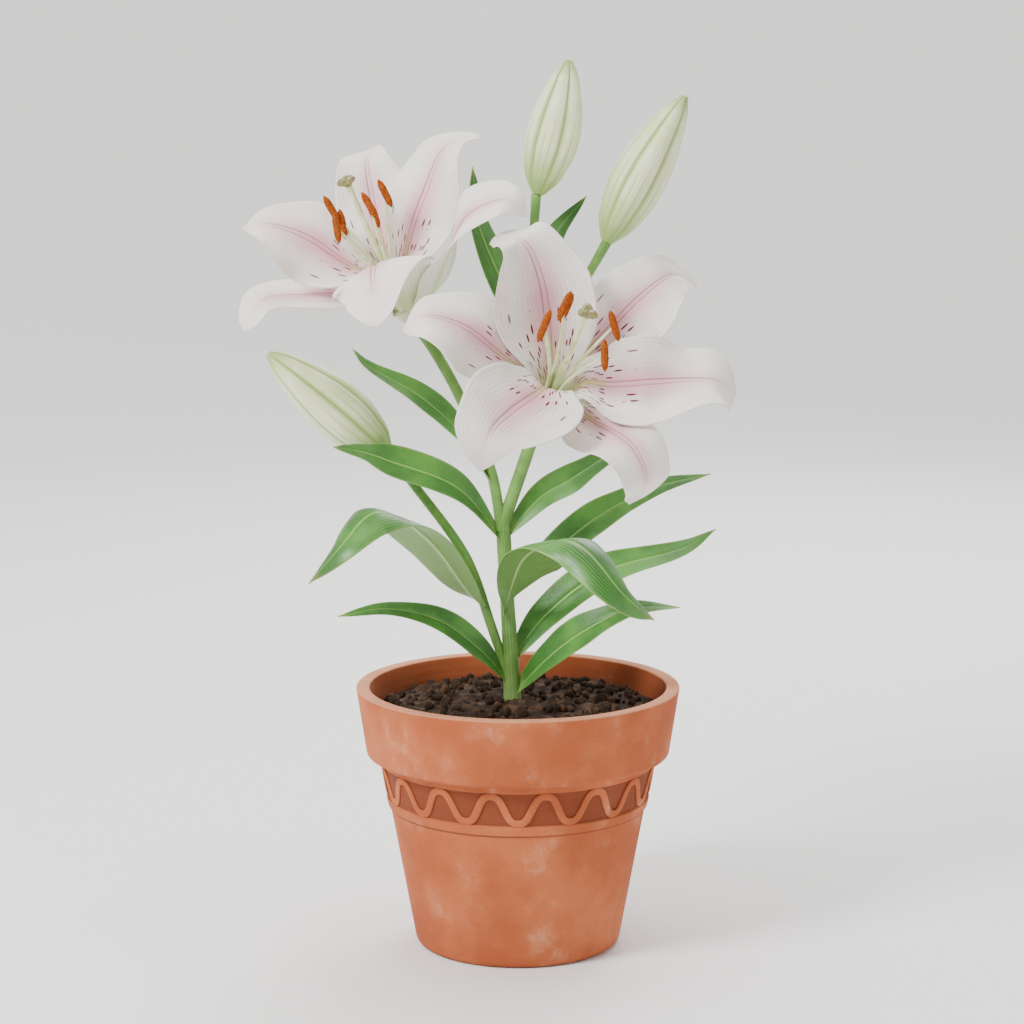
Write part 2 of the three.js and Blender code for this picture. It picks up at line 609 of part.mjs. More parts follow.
const LEAF_OUTLINE = [0.2, 0.58, 0.87, 1, 0.97, 0.73, 0.53, 0.32, 0.03];
const halfWidths = (width) => LEAF_OUTLINE.map((share) => (share * width) / 2);
const LEAVES = [
  { name: 'leaf_left_high', width: 16.5, roll: [-15, -50, -20],
    through: [[-13, 2, 256], [-32, -3, 288], [-54, -8, 309], [-80, -13, 325], [-90, -13, 335]] },
  { name: 'leaf_left_middle', width: 20.5, roll: [-45, -55, -35],
    through: [[-9, 0, 228], [-33, -14, 259], [-70, -22, 275], [-84, -24, 280], [-100, -26, 283]] },
  { name: 'leaf_left_folded', roll: [-15, 20, 20, -15, -15, 0], cup: 'leftFold',
    through: [
      [-19, -1, 190], [-29, -3, 202], [-46, -12, 227], [-65, -26, 245], [-80, -41, 248],
      [-95, -56, 233], [-112, -53, 213],
    ],
    left: [5.5, 13, 19, 22, 20.5, 15.5, 6.5, 0.6],
    right: [4.5, 9.5, 13, 14.5, 15, 15.5, 9, 0.6] },
  { name: 'leaf_left_low', width: 16.5, roll: [-50, -50, -45],
    through: [[-5, 0, 147], [-20, -9, 167], [-43, -18, 186], [-71, -26, 194], [-98, -32, 191]] },
  { name: 'leaf_right_high', width: 18, roll: [50, 50, 35],
    through: [[-7, 0, 230], [12, 7, 250], [29, 16, 259], [50, 24, 271], [61, 28, 273]] },
  { name: 'leaf_right_middle', width: 20.5, roll: [25, 50, 45],
    through: [[-5, 4, 194], [15, 22, 212], [44, 31, 235], [77, 38, 251], [109, 44, 258]] },
  { name: 'leaf_right_folded', roll: [25, -25, -25, 20, 15, -10], cup: 'rightFold',
    through: [
      [-7.5, -3, 187], [-4, -6, 203], [4, -17, 222], [22, -37, 234], [37, -52, 230],
      [56, -63, 209], [73, -52, 193],
    ],
    left: [4.5, 9.5, 14, 16, 15, 15, 10, 1],
    right: [4, 10, 19, 20.5, 18, 14, 7, 0.6] },
  { name: 'leaf_right_long', width: 22, roll: [50, 45, 20],
    through: [[-4, 0, 159.5], [16, 10, 184], [48, 16, 207], [91, 20, 219], [111, 22, 230]] },
  { name: 'leaf_right_low', width: 21.5, roll: [45, 55, 25],
    through: [[-2, 0, 141], [15, -14, 163], [35, -25, 181], [61, -32, 195], [88, -37, 197]] },
  { name: 'leaf_upper_left', width: 20, roll: [-60, -65, -65],
    through: [[16, 19, 326], [-2, 17, 356], [-21, 15, 399], [-25, 12, 432]] },
  { name: 'leaf_upper_right', width: 17.5, roll: [60, 60, 60],
    through: [[13, 22, 350], [16, 28, 373], [20, 32, 393], [38, 34, 415]] },
];

function leaf({ through, width, roll, cup = 'leaf', left = halfWidths(width), right = left }) {
  const heading = vec(...through.at(-1)).sub(vec(...through[0])).setZ(0).normalize();
  return blade({
    path: (s) => alongPoints(through, s),
    side: vec(-heading.y, heading.x, 0),
    left,
    right,
    cup: CUPS[cup],
    roll,
    ...LEAF_WAVE,
    thickness: LEAF_THICKNESS,
    steps: 12,
    columns: 4,
  });
}

// The whole plant

const stem = stemSolid(0);
const stemSpace = stemSolid(GAP);
const group = new THREE.Group();
const put = (name, solid, finish) => group.add(meshOf(name, solid, finish));

put('pot', potBody().add(waveRibbon()), 'clay');
put('soil', cutBy(soilBody(), bulbBody(GAP).add(stemSpace)), 'soil');
put('bulb', cutBy(bulbBody(), stemSpace), 'bulb');
put('stem', stem, 'stem');
LEAVES.forEach((one) => put(one.name, cutBy(leaf(one), stemSpace), 'leaf'));
BUDS.forEach((one) => put(one.name, cutBy(bud(one), stemSpace), 'bud'));
FLOWERS.forEach((flower) => {
  flower.tepals.forEach((one) =>
    put(`${flower.name}_tepal_${one.name}`, cutBy(tepal(flower, one), stemSpace), 'tepal'));
  put(`${flower.name}_stamens`, stamens(flower), 'stamen');
  put(`${flower.name}_pistil`, pistil(flower), 'pistil');
});

export default group;
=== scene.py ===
"""Potted lily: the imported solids' looks. Sizes are in millimetres until a mesh is made."""
import math

import bpy
import numpy as np
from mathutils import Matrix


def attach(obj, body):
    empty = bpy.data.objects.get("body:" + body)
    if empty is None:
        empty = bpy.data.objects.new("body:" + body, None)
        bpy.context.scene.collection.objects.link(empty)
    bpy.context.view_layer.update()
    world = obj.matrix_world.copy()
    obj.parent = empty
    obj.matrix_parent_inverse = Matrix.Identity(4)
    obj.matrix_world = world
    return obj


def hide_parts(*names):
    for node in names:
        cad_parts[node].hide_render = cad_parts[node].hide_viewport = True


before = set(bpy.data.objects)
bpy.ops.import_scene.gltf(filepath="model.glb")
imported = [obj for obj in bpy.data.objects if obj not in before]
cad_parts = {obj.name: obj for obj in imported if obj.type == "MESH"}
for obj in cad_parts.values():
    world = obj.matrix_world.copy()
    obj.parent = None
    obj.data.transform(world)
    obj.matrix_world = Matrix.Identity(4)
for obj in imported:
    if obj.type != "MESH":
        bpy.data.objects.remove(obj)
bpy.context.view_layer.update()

# Sizes of the pot. They are the solids' own, except that the ribbon's crests are fuller, it is
# sunk less, and the body has more sides.
POT_HEIGHT = 146
RIM_RADIUS = 90
RIM_INNER_RADIUS = 82.5
COLLAR_BOTTOM = 108
COLLAR_BOTTOM_RADIUS = 84.2
BODY_TOP_RADIUS = 76.6
FOOT_RADIUS = 57.4
FOOT_ROUNDING = 2.6
FLOOR_THICKNESS = 9
WALL = 6.5
DRAIN_COUNT = 3
DRAIN_RADIUS = 5
DRAIN_CIRCLE = 26
RELIEF = 1.2
LOWER_STRIP = (78.4, 84.4)
UPPER_STRIP_BOTTOM = 103
WAVE_COUNT = 16
RIBBON_WIDTH = 4.2
RIBBON_FULLNESS = 0.38
RIBBON_SUNK = 0.8
POT_SIDES = 224

# Sizes of the soil and the bulb, how many lumps and crumbs there are, and the clearance
# between pieces.
SOIL_EDGE = 132.5
SOIL_MOUND = 5.5
SOIL_SIDES = 288
LUMP_COUNT = 620
CRUMB_COUNT = 420
BULB_BOTTOM = 34
BULB_TOP = 79
BULB_RADIUS = 27
BULB_ROOM = 2
GAP = 0.35

# Sizes of the plant.
STEM_X = -3
STEM_RADIUS = 5.0
RECEPTACLE_RADIUS = 4.8
RECEPTACLE_FLARE = 6.1
PISTIL_LENGTH = 78
ANTHER_LENGTH = 17
ANTHER_RADIUS = 2.4

# Blades: the thickness on the midrib and at the edge, the least half width, the share of the
# length where the tip starts to round off, and the rims of a blade that has none.
TEPAL_THICKNESS = (1.0, 0.4)
LEAF_THICKNESS = (0.9, 0.45)
LEAST_HALF_WIDTH = 0.3
ROUND_FROM = 0.94
NO_RIMS = ((0, 0), (0, 0))

# The studio, in metres: the flat floor's radius and the bend that turns it into a wall, the
# camera's place and its pitch down in degrees, and each soft box's name, place, target, width
# and power in watts.
SWEEP_RADIUS = 2.0
SWEEP_BEND = 1.4
CAMERA_PLACE = (-0.0033, -1.548, 0.494)
CAMERA_PITCH = 9.2
SOFT_BOXES = (
    ("key", (-1.2, -1.0, 1.5), (0, 0, 0.25), 0.6, 54),
    ("fill", (1.5, -1.0, 0.8), (0, 0, 0.25), 1.2, 7),
    ("back", (0.5, 1.4, 1.3), (0, 0, 0.3), 1.0, 22),
    ("above", (0, 0.9, 3.2), (0, 1.2, 0), 2.6, 95))


# Curves and surfaces

def unit(v):
    """Vectors made 1 long."""
    return v / np.linalg.norm(v, axis=-1, keepdims=True)


def along(rows, s):
    """Evenly spaced rows read at s from 0 to 1, on a Catmull-Rom curve through them. Past each
    end the curve goes on as straight as its last step."""
    rows = np.asarray(rows, float)
    last = len(rows) - 1
    place = np.clip(s, 0, 1) * last
    i = np.minimum(place.astype(int), last - 1)
    ends = np.concatenate([[2 * rows[0] - rows[1]], rows, [2 * rows[-1] - rows[-2]]])
    a, b, c, d = ends[i], ends[i + 1], ends[i + 2], ends[i + 3]
    t = (place - i).reshape(place.shape + (1,) * (rows.ndim - 1))
    return b + 0.5 * t * (c - a + t * (2 * a - 5 * b + 4 * c - d + t * (3 * (b - c) + d - a)))


def frames(path, side, s, roll=0):
    """Point, across and normal of a path at each s. Across is the fixed side direction with its
    part along the path taken out, and both turn about the path by roll degrees."""
    step = 1e-3
    tangent = unit(path(np.minimum(s + step, 1)) - path(np.maximum(s - step, 0)))
    side = np.asarray(side, float)
    across = unit(side - (tangent @ side)[:, None] * tangent)
    normal = np.cross(tangent, across)
    turn = np.radians(roll) * np.ones_like(s)
    c, w = np.cos(turn)[:, None], np.sin(turn)[:, None]
    return path(s), across * c + normal * w, normal * c - across * w


def smooth(x, low, high):
    """0 below low, 1 above high, and an even S between."""
    t = np.clip((x - low) / (high - low), 0, 1)
    return t * t * (3 - 2 * t)


def bump(x, width):
    """A bell of height 1 at 0 that has faded by width on each side."""
    return np.exp(-((2 * x / width) ** 2))


def summed(values, x):
    """The area under values from x = 0, the middle column, outwards to each column."""
    total = np.cumsum((values[:, 1:] + values[:, :-1]) / 2 * np.diff(x), 1)
    total = np.pad(total, ((0, 0), (1, 0)))
    return total - total[:, len(x) // 2, None]


def part(grid, uv=None, inner=None, material=0, joined=False):
    """One closed surface for a piece: rings of points, with what each point carries. uv has one
    more column than the grid, so a pattern meets itself at the seam."""
    rings, count, _ = grid.shape
    if uv is None:
        u, v = np.meshgrid(np.linspace(0, 1, count + 1), np.linspace(0, 1, rings))
        uv = np.stack([u, v], -1)
    if inner is None:
        inner = np.ones((rings, count))
    return {"grid": grid, "uv": uv, "inner": inner, "material": material, "joined": joined}


def faces_of(one):
    """Corner numbers and uv of a part's faces. Four neighbouring points make a quad. Each end
    closes on a middle point, unless the last ring meets the first. All are turned over if the
    signed volume comes out negative."""
    grid, uv = one["grid"], one["uv"]
    rings, count, _ = grid.shape
    i, k = np.meshgrid(np.arange(rings if one["joined"] else rings - 1), np.arange(count),
                       indexing="ij")
    after, right = (i + 1) % rings, (k + 1) % count
    quads = np.stack([i * count + k, after * count + k, after * count + right, i * count + right],
                     -1).reshape(-1, 4)
    quad_uv = np.stack([uv[i, k], uv[after, k], uv[after, k + 1], uv[i, k + 1]],
                       -2).reshape(-1, 4, 2)
    points = grid.reshape(-1, 3)
    tris, tri_uv = np.zeros((0, 3), int), np.zeros((0, 3, 2))
    if not one["joined"]:
        points = np.concatenate([points, grid[0].mean(0)[None], grid[-1].mean(0)[None]])
        k = np.arange(count)
        last = (rings - 1) * count
        first_pole, last_pole = rings * count, rings * count + 1
        tris = np.concatenate([
            np.stack([k, (k + 1) % count, np.full(count, first_pole)], -1),
            np.stack([last + (k + 1) % count, last + k, np.full(count, last_pole)], -1)])
        middle = [np.broadcast_to(uv[j].mean(0), (count, 2)) for j in (0, -1)]
        tri_uv = np.concatenate([np.stack([uv[0, k], uv[0, k + 1], middle[0]], 1),
                                 np.stack([uv[-1, k + 1], uv[-1, k], middle[1]], 1)])
    fans = np.concatenate([quads[:, [0, 1, 2]], quads[:, [0, 2, 3]], tris])
    a, b, c = points[fans[:, 0]], points[fans[:, 1]], points[fans[:, 2]]
    if np.einsum("ij,ij->", a, np.cross(b, c)) < 0:
        quads, quad_uv = quads[:, ::-1], quad_uv[:, ::-1]
        tris, tri_uv = tris[:, ::-1], tri_uv[:, ::-1]
    return points, quads, quad_uv, tris, tri_uv


def mesh_of(name, parts):
    """A mesh, in metres, made of closed surfaces, with their uv and their inner attribute."""
    points, corners, uvs, totals, kinds, inner, start = [], [], [], [], [], [], 0
    for one in parts:
        p, quads, quad_uv, tris, tri_uv = faces_of(one)
        points.append(p)
        poles = len(p) - one["inner"].size
        inner.append(np.concatenate([one["inner"].ravel(), np.ones(poles)]))
        corners += [(quads + start).ravel(), (tris + start).ravel()]
        uvs += [quad_uv.reshape(-1, 2), tri_uv.reshape(-1, 2)]
        totals += [np.full(len(quads), 4), np.full(len(tris), 3)]
        kinds.append(np.full(len(quads) + len(tris), one["material"]))
        start += len(p)
    points, corners, totals = (np.concatenate(a) for a in (points, corners, totals))
    mesh = bpy.data.meshes.new(name)
    mesh.vertices.add(len(points))
    mesh.vertices.foreach_set("co", (points / 1000).ravel())
    mesh.loops.add(len(corners))
    mesh.loops.foreach_set("vertex_index", corners.astype(np.int32))
    mesh.polygons.add(len(totals))
    starts = np.concatenate([[0], np.cumsum(totals)[:-1]])
    mesh.polygons.foreach_set("loop_start", starts.astype(np.int32))
    mesh.polygons.foreach_set("material_index", np.concatenate(kinds).astype(np.int32))
    mesh.uv_layers.new(name="blade").uv.foreach_set("vector", np.concatenate(uvs).ravel())
    face = mesh.attributes.new("inner", "FLOAT", "POINT")
    face.data.foreach_set("value", np.concatenate(inner))
    mesh.update(calc_edges=True)
    mesh.validate()
    mesh.shade_smooth()
    return mesh


def placed(name, data):
    """A new object that holds a mesh, a light or a camera, linked to the scene."""
    obj = bpy.data.objects.new(name, data)
    bpy.context.scene.collection.objects.link(obj)
    return obj


def piece(name, parts, materials, slot, *nodes):
    """An object made of closed surfaces, which stands for the named solids."""
    mesh = mesh_of(name, parts)
    for each in materials:
        mesh.materials.append(each)
    obj = placed(name, mesh)
    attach(obj, "root")
    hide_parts(*nodes)
    return obj


def rod(through, radii, steps, sides=24, side=(0, 1, 0), section=None, material=0, pale=None):
    """A round rod along points. Its radius runs along radii, and section, a function of s and
    the angle, may multiply it. If pale names a share of its length, its inner attribute falls
    from 1 to 0 over the fifth that follows it."""
    path = lambda s: along(through, s)
    s = np.linspace(0, 1, steps + 1)
    point, across, normal = frames(path, side, s)
    angle = np.linspace(0, 2 * math.pi, sides, endpoint=False)
    radius = along(radii, s)[:, None] * np.ones(sides)
    if section is not None:
        radius = radius * section(s[:, None], angle[None, :])
    grid = (point[:, None] + across[:, None] * (radius * np.cos(angle))[..., None]
            + normal[:, None] * (radius * np.sin(angle))[..., None])
    inner = None if pale is None else 1 - smooth(s, pale, pale + 0.2)[:, None] * np.ones(sides)
    return part(grid, inner=inner, material=material)


def blade(path, side, left, right, cup, roll, thickness, steps, columns, rims=NO_RIMS, wave=0,
          waves=2, phase=0, ruffle=0, groove=0, groove_width=3):
    """A thin closed blade along a path. Its half widths follow two rows, left and right of the
    midrib. Across it the surface turns evenly by cup degrees from the midrib to the edge, and
    near an edge by that side's rims degrees more. Each column's place is the sum of the steps in
    those directions. The margin waves slowly by wave, as the solid does, and more quickly by
    ruffle. A channel of depth groove runs along the midrib. The thickness falls from its first
    value to its second at the edge. The steps along it grow shorter towards the tip, which is
    rounded off as a quarter of an ellipse on each side."""
    s = 1 - (1 - np.linspace(0, 1, steps + 1)) ** 1.4
    x = np.linspace(-1, 1, columns + 1)
    point, across, normal = frames(path, side, s, along(roll, s))
    half = np.where(x < 0, along(left, s)[:, None], along(right, s)[:, None])
    blunt = np.clip((s - ROUND_FROM) / (1 - ROUND_FROM), 0, 1)[:, None]
    half = np.maximum(half * np.sqrt(1 - blunt * blunt), LEAST_HALF_WIDTH)
    share = half / max(*left, *right)
    rim = np.where(x < 0, -along(rims[0], s)[:, None], along(rims[1], s)[:, None])
    turn = np.radians(along(cup, s)[:, None] * x + rim * smooth(np.abs(x), 0.6, 1))
    out, lift = (half * summed(f(turn), x) for f in (np.cos, np.sin))
    edge = np.abs(x) ** 3
    ripple = wave * np.sin(2 * math.pi * (waves * s[:, None] + phase) + 2 * np.sign(x))
    quick = ruffle * (np.sin(2 * math.pi * (3.3 * s[:, None] + 2.3 * phase) - 1.3 * np.sign(x))
                      + 0.6 * np.sin(2 * math.pi * (5.7 * s[:, None] + phase) + np.sign(x)))
    channel = groove * bump(x * half, groove_width * (1 - 0.6 * s[:, None]))
    lift = lift + (ripple * edge + quick * edge * x * x - channel) * share
    middle = point[:, None] + across[:, None] * out[..., None] + normal[:, None] * lift[..., None]
    thick, thin = thickness
    depth = 0.5 * (thin + (thick - thin) * (1 - x * x) * np.minimum(1, 4 * share))
    upper = middle + normal[:, None] * depth[..., None]
    lower = middle - normal[:, None] * depth[..., None]
    grid = np.concatenate([upper, lower[:, ::-1]], 1)
    u = np.concatenate([(x + 1) / 2, (x[::-1] + 1) / 2, [0]])
    uv = np.stack(np.broadcast_arrays(u[None, :], s[:, None]), -1)
    face = np.concatenate([np.ones(columns + 1), np.zeros(columns + 1)])
    return part(grid, uv, np.broadcast_to(face, grid.shape[:2]))


# Materials: what a node's settings are called below, and the one function that adds a node.

S_CURVE = {"interpolation_type": "SMOOTHSTEP"}
COLOURS = {"output": 2, "data_type": "RGBA"}
TIMES = {"operation": "MULTIPLY"}
PLUS = {"operation": "ADD"}
LESS = {"operation": "SUBTRACT"}
SIZE_OF = {"operation": "ABSOLUTE"}
BROAD = {"Detail": 3, "Roughness": 0.55}
FINE = {"Detail": 2, "Roughness": 0.55}


def linear(code):
    """An sRGB hex colour as the linear values that a shader takes."""
    values = [int(code[i:i + 2], 16) / 255 for i in (0, 2, 4)]
    return [v / 12.92 if v <= 0.04045 else ((v + 0.055) / 1.055) ** 2.4 for v in values] + [1]


def add(tree, kind, inputs, output=0, **settings):
    """Adds one node. Its inputs, in their order or by name or number, are values, hex colours or
    other nodes' outputs. Settings are its properties. Gives back the output asked for."""
    made = tree.nodes.new("ShaderNode" + kind)
    for name, value in settings.items():
        setattr(made, name, value)
    for place, value in inputs.items() if isinstance(inputs, dict) else enumerate(inputs):
        if isinstance(value, bpy.types.NodeSocket):
            tree.links.new(value, made.inputs[place])
        else:
            made.inputs[place].default_value = linear(value) if isinstance(value, str) else value
    return made.outputs[output]


def material(name, **shader):
    """An empty material with its Principled shader's own sockets set."""
    made = bpy.data.materials.new(name)
    made.use_nodes = True
    surface = made.node_tree.nodes["Principled BSDF"]
    for key, value in shader.items():
        surface.inputs[key.replace("_", " ")].default_value = value
    return made, made.node_tree, surface


def finish(tree, surface, colour, height, depth_mm, strength):
    """Joins a colour to the shader, and a height from 0 to 1 that stands for depth_mm of relief."""
    shape = add(tree, "Bump", {"Height": height, "Strength": strength, "Distance": depth_mm / 1000})
    tree.links.new(colour, surface.inputs["Base Color"])
    tree.links.new(shape, surface.inputs["Normal"])


def patches_of(tree, place, size_mm, low, high, least=0, most=1, noise=BROAD):
    """Soft patches of a real size: noise of that size, drawn out so that it goes from least,
    where its own value is low, to most, where it is high."""
    found = add(tree, "TexNoise", {"Vector": place, "Scale": 1000 / size_mm, **noise})
    return add(tree, "MapRange", [found, low, high, least, most], **S_CURVE)


def fired_clay():
    """Unglazed red earthenware, thrown on a wheel and fired: matt, sandy, with fine turning
    lines, uneven firing and a pale bloom of lime where water has dried. The ground between the
    strips has kept a darker wash, and a dark line of painted shade lies in the crease under the
    lower strip. The inside is damp, and the top of the rim is worn paler."""
    made, tree, surface = material("fired clay", Roughness=0.88, Specular_IOR_Level=0.25)
    place = add(tree, "TexCoord", [], "Object")
    x, y, z = add(tree, "SeparateXYZ", [place]).node.outputs
    radius = add(tree, "VectorMath", [add(tree, "CombineXYZ", [x, y])], 1, operation="LENGTH")

    # Firing patches of 45 mm, and grains of sand of 1.1 mm.
    firing = patches_of(tree, place, 45, 0.35, 0.68)
    sand = add(tree, "TexNoise", {"Vector": place, "Scale": 1000 / 1.1, **FINE})
    grains = add(tree, "MapRange", [sand, 0.55, 0.75, 0, 0.5], **S_CURVE)

    # Lime in clouds of 22 mm, broken up by specks of 3 mm.
    clouds = patches_of(tree, place, 22, 0.54, 0.76, noise={"Detail": 5, "Roughness": 0.65})
    specks = patches_of(tree, place, 3, 0.35, 0.65, 0.1, 0.3)
    bloom = add(tree, "Math", [clouds, specks], **TIMES)

    # Dark wash on the plain wall between the strips: proud is how far a point is outside it.
    taper = (BODY_TOP_RADIUS - FOOT_RADIUS) / (COLLAR_BOTTOM - FOOT_ROUNDING)
    wall = add(tree, "Math", [add(tree, "Math", [z, taper], **TIMES),
                              (FOOT_RADIUS - taper * FOOT_ROUNDING) / 1000], **PLUS)
    proud = add(tree, "Math", [radius, wall], **LESS)
    ground = add(tree, "MapRange", [proud, 0.0001, 0.0006, 1, 0], **S_CURVE)
    outside = add(tree, "MapRange", [proud, -0.003, -0.002], **S_CURVE)
    above = add(tree, "MapRange", [z, (LOWER_STRIP[1] - 0.3) / 1000, (LOWER_STRIP[1] + 0.2) / 1000],
                **S_CURVE)
    below = add(tree, "MapRange", [z, (UPPER_STRIP_BOTTOM - 0.2) / 1000,
                                   (UPPER_STRIP_BOTTOM + 0.3) / 1000, 1, 0], **S_CURVE)
    wash = add(tree, "Math", [above, below], **TIMES)
    for limit in (ground, outside, 0.85):
        wash = add(tree, "Math", [wash, limit], **TIMES)
    # Painted shade: a dark line in the crease under the lower strip, on the outside only.
    crease = add(tree, "Math", [z, (LOWER_STRIP[0] - 0.2) / 1000], **LESS)
    crease = add(tree, "Math", [crease], **SIZE_OF)
    crease = add(tree, "MapRange", [crease, 0.0002, 0.0009, 0.7, 0], **S_CURVE)
    crease = add(tree, "Math", [crease, outside], **TIMES)

    # Damp inside the collar, most of all next to the soil, and wear on the rim's top.
    inside = add(tree, "MapRange", [radius, (RIM_INNER_RADIUS + 0.1) / 1000,
                                    (RIM_INNER_RADIUS + 0.9) / 1000, 1, 0], **S_CURVE)
    inside = add(tree, "Math", [inside, add(tree, "MapRange", [z, 0.11, 0.112], **S_CURVE)], **TIMES)
    damp = add(tree, "MapRange", [z, 0.131, POT_HEIGHT / 1000, 0.75, 0.3], **S_CURVE)
    damp = add(tree, "Math", [inside, damp], **TIMES)
    worn = add(tree, "MapRange", [z, (POT_HEIGHT - 0.9) / 1000, (POT_HEIGHT - 0.3) / 1000, 0, 0.4],
               **S_CURVE)

    colour = add(tree, "Mix", {0: firing, 6: "A4532F", 7: "BC6A42"}, **COLOURS)
    # The crease's dark line mixed in here is painted shade.
    for amount, code in ((grains, "8F4526"), (bloom, "DDBBA0"), (wash, "6F3520"),
                         (crease, "6F3520"), (damp, "7A3B22"), (worn, "DDAA88")):
        colour = add(tree, "Mix", {0: amount, 6: colour, 7: code}, **COLOURS)

    # Turning lines 4.7 mm apart: at a scale of 1 a wave's bands are a tenth of pi apart.
    lines = add(tree, "TexWave", {"Vector": place, "Scale": math.pi / 10 * 1000 / 4.735,
                                  "Distortion": 1.2, "Detail": 2}, "Fac", bands_direction="Z")
    height = add(tree, "Math", [add(tree, "Math", [lines, 0.35], **TIMES), sand], **PLUS)
    finish(tree, surface, colour, height, depth_mm=0.25, strength=0.55)
    return made


def potting_soil():
    """Moist peat mix: nearly black brown, crumbly and matt, with paler dry crumbs of 1.6 mm in
    clods of 9 mm."""
    made, tree, surface = material("potting soil", Roughness=0.95, Specular_IOR_Level=0.2)
    place = add(tree, "TexCoord", [], "Object")
    dry = patches_of(tree, place, 9, 0.45, 0.7, noise={"Detail": 4, "Roughness": 0.55})
    grain = add(tree, "TexNoise", {"Vector": place, "Scale": 1000 / 1.6, "Detail": 4, "Roughness": 0.7})
    pale = add(tree, "MapRange", [grain, 0.6, 0.78, 0, 0.75], **S_CURVE)
    colour = add(tree, "Mix", {0: dry, 6: "2B1D14", 7: "543D2B"}, **COLOURS)
    colour = add(tree, "Mix", {0: pale, 6: colour, 7: "7A5F47"}, **COLOURS)
    finish(tree, surface, colour, grain, depth_mm=1.1, strength=0.8)
    return made


def surface_place(tree):
    """What a piece's pattern reads: the point, its uv, u across or round it, v along it, and the
    inner attribute that its surface carries."""
    place = add(tree, "TexCoord", [], "Object")
    uv = add(tree, "UVMap", [], uv_map="blade")
    u, v, _ = add(tree, "SeparateXYZ", [uv]).node.outputs
    return place, uv, u, v, add(tree, "Attribute", [], "Fac", attribute_name="inner")


def off_midrib(tree, u):
    """How far a point is from the midrib: 0 on it and 1 at the blade's edge."""
    off = add(tree, "Math", [add(tree, "Math", [u, 2], **TIMES), 1], **LESS)
    return add(tree, "Math", [off], **SIZE_OF)


def veins_across(tree, u, count, sharp):
    """Evenly spaced lengthwise lines across a blade, from the cosine of u times count turns: 1 on
    a line and 0 between lines."""
    turns = add(tree, "Math", [u, count * 2 * math.pi], **TIMES)
    wave = add(tree, "Math", [turns], operation="COSINE")
    return add(tree, "MapRange", [wave, sharp, 1], **S_CURVE)


def lily_leaf():
    """A living leaf: waxy and smooth, deep green above and paler, duller below. Veins run its
    whole length, 17 across about 20 mm, and the midrib is a pale channel. The base is pale, and
    the edges and the very tip are dry."""
    made, tree, surface = material("waxy lily leaf", Roughness=0.4, Specular_IOR_Level=0.45,
                                   Coat_Weight=0.12, Coat_Roughness=0.3, Subsurface_Weight=0.08,
                                   Subsurface_Scale=0.002)
    place, _, u, v, face = surface_place(tree)
    off = off_midrib(tree, u)
    patches = patches_of(tree, place, 24, 0.35, 0.68)
    veins = veins_across(tree, u, 17, 0.5)
    rib = add(tree, "MapRange", [off, 0.02, 0.07, 1, 0], **S_CURVE)

    veins_above = add(tree, "Math", [veins, 0.4], **TIMES)
    rib_above = add(tree, "Math", [rib, 0.7], **TIMES)
    edge = add(tree, "MapRange", [off, 0.9, 1, 0, 0.45], **S_CURVE)
    base = add(tree, "MapRange", [v, 0, 0.12, 0.6, 0], **S_CURVE)
    tip = add(tree, "MapRange", [v, 0.93, 1, 0, 0.5], **S_CURVE)
    colour = add(tree, "Mix", {0: patches, 6: "2C6424", 7: "4B8A30"}, **COLOURS)
    for amount, code in ((veins_above, "7FAE4A"), (rib_above, "8FB85A"), (edge, "9DBB62"),
                         (base, "9CBF63"), (tip, "B99B4C")):
        colour = add(tree, "Mix", {0: amount, 6: colour, 7: code}, **COLOURS)

    veins_below = add(tree, "Math", [veins, 0.5], **TIMES)
    under = add(tree, "Mix", {0: veins_below, 6: "6E9A50", 7: "8DB368"}, **COLOURS)
    under = add(tree, "Mix", {0: rib, 6: under, 7: "B5CF8B"}, **COLOURS)
    colour = add(tree, "Mix", {0: face, 6: under, 7: colour}, **COLOURS)
    cells = add(tree, "TexNoise", {"Vector": place, "Scale": 1000 / 2.2, **FINE})
    height = add(tree, "Math", [cells, add(tree, "Math", [veins, 1.4], **TIMES)], **LESS)
    finish(tree, surface, colour, height, depth_mm=0.3, strength=0.5)
    return made


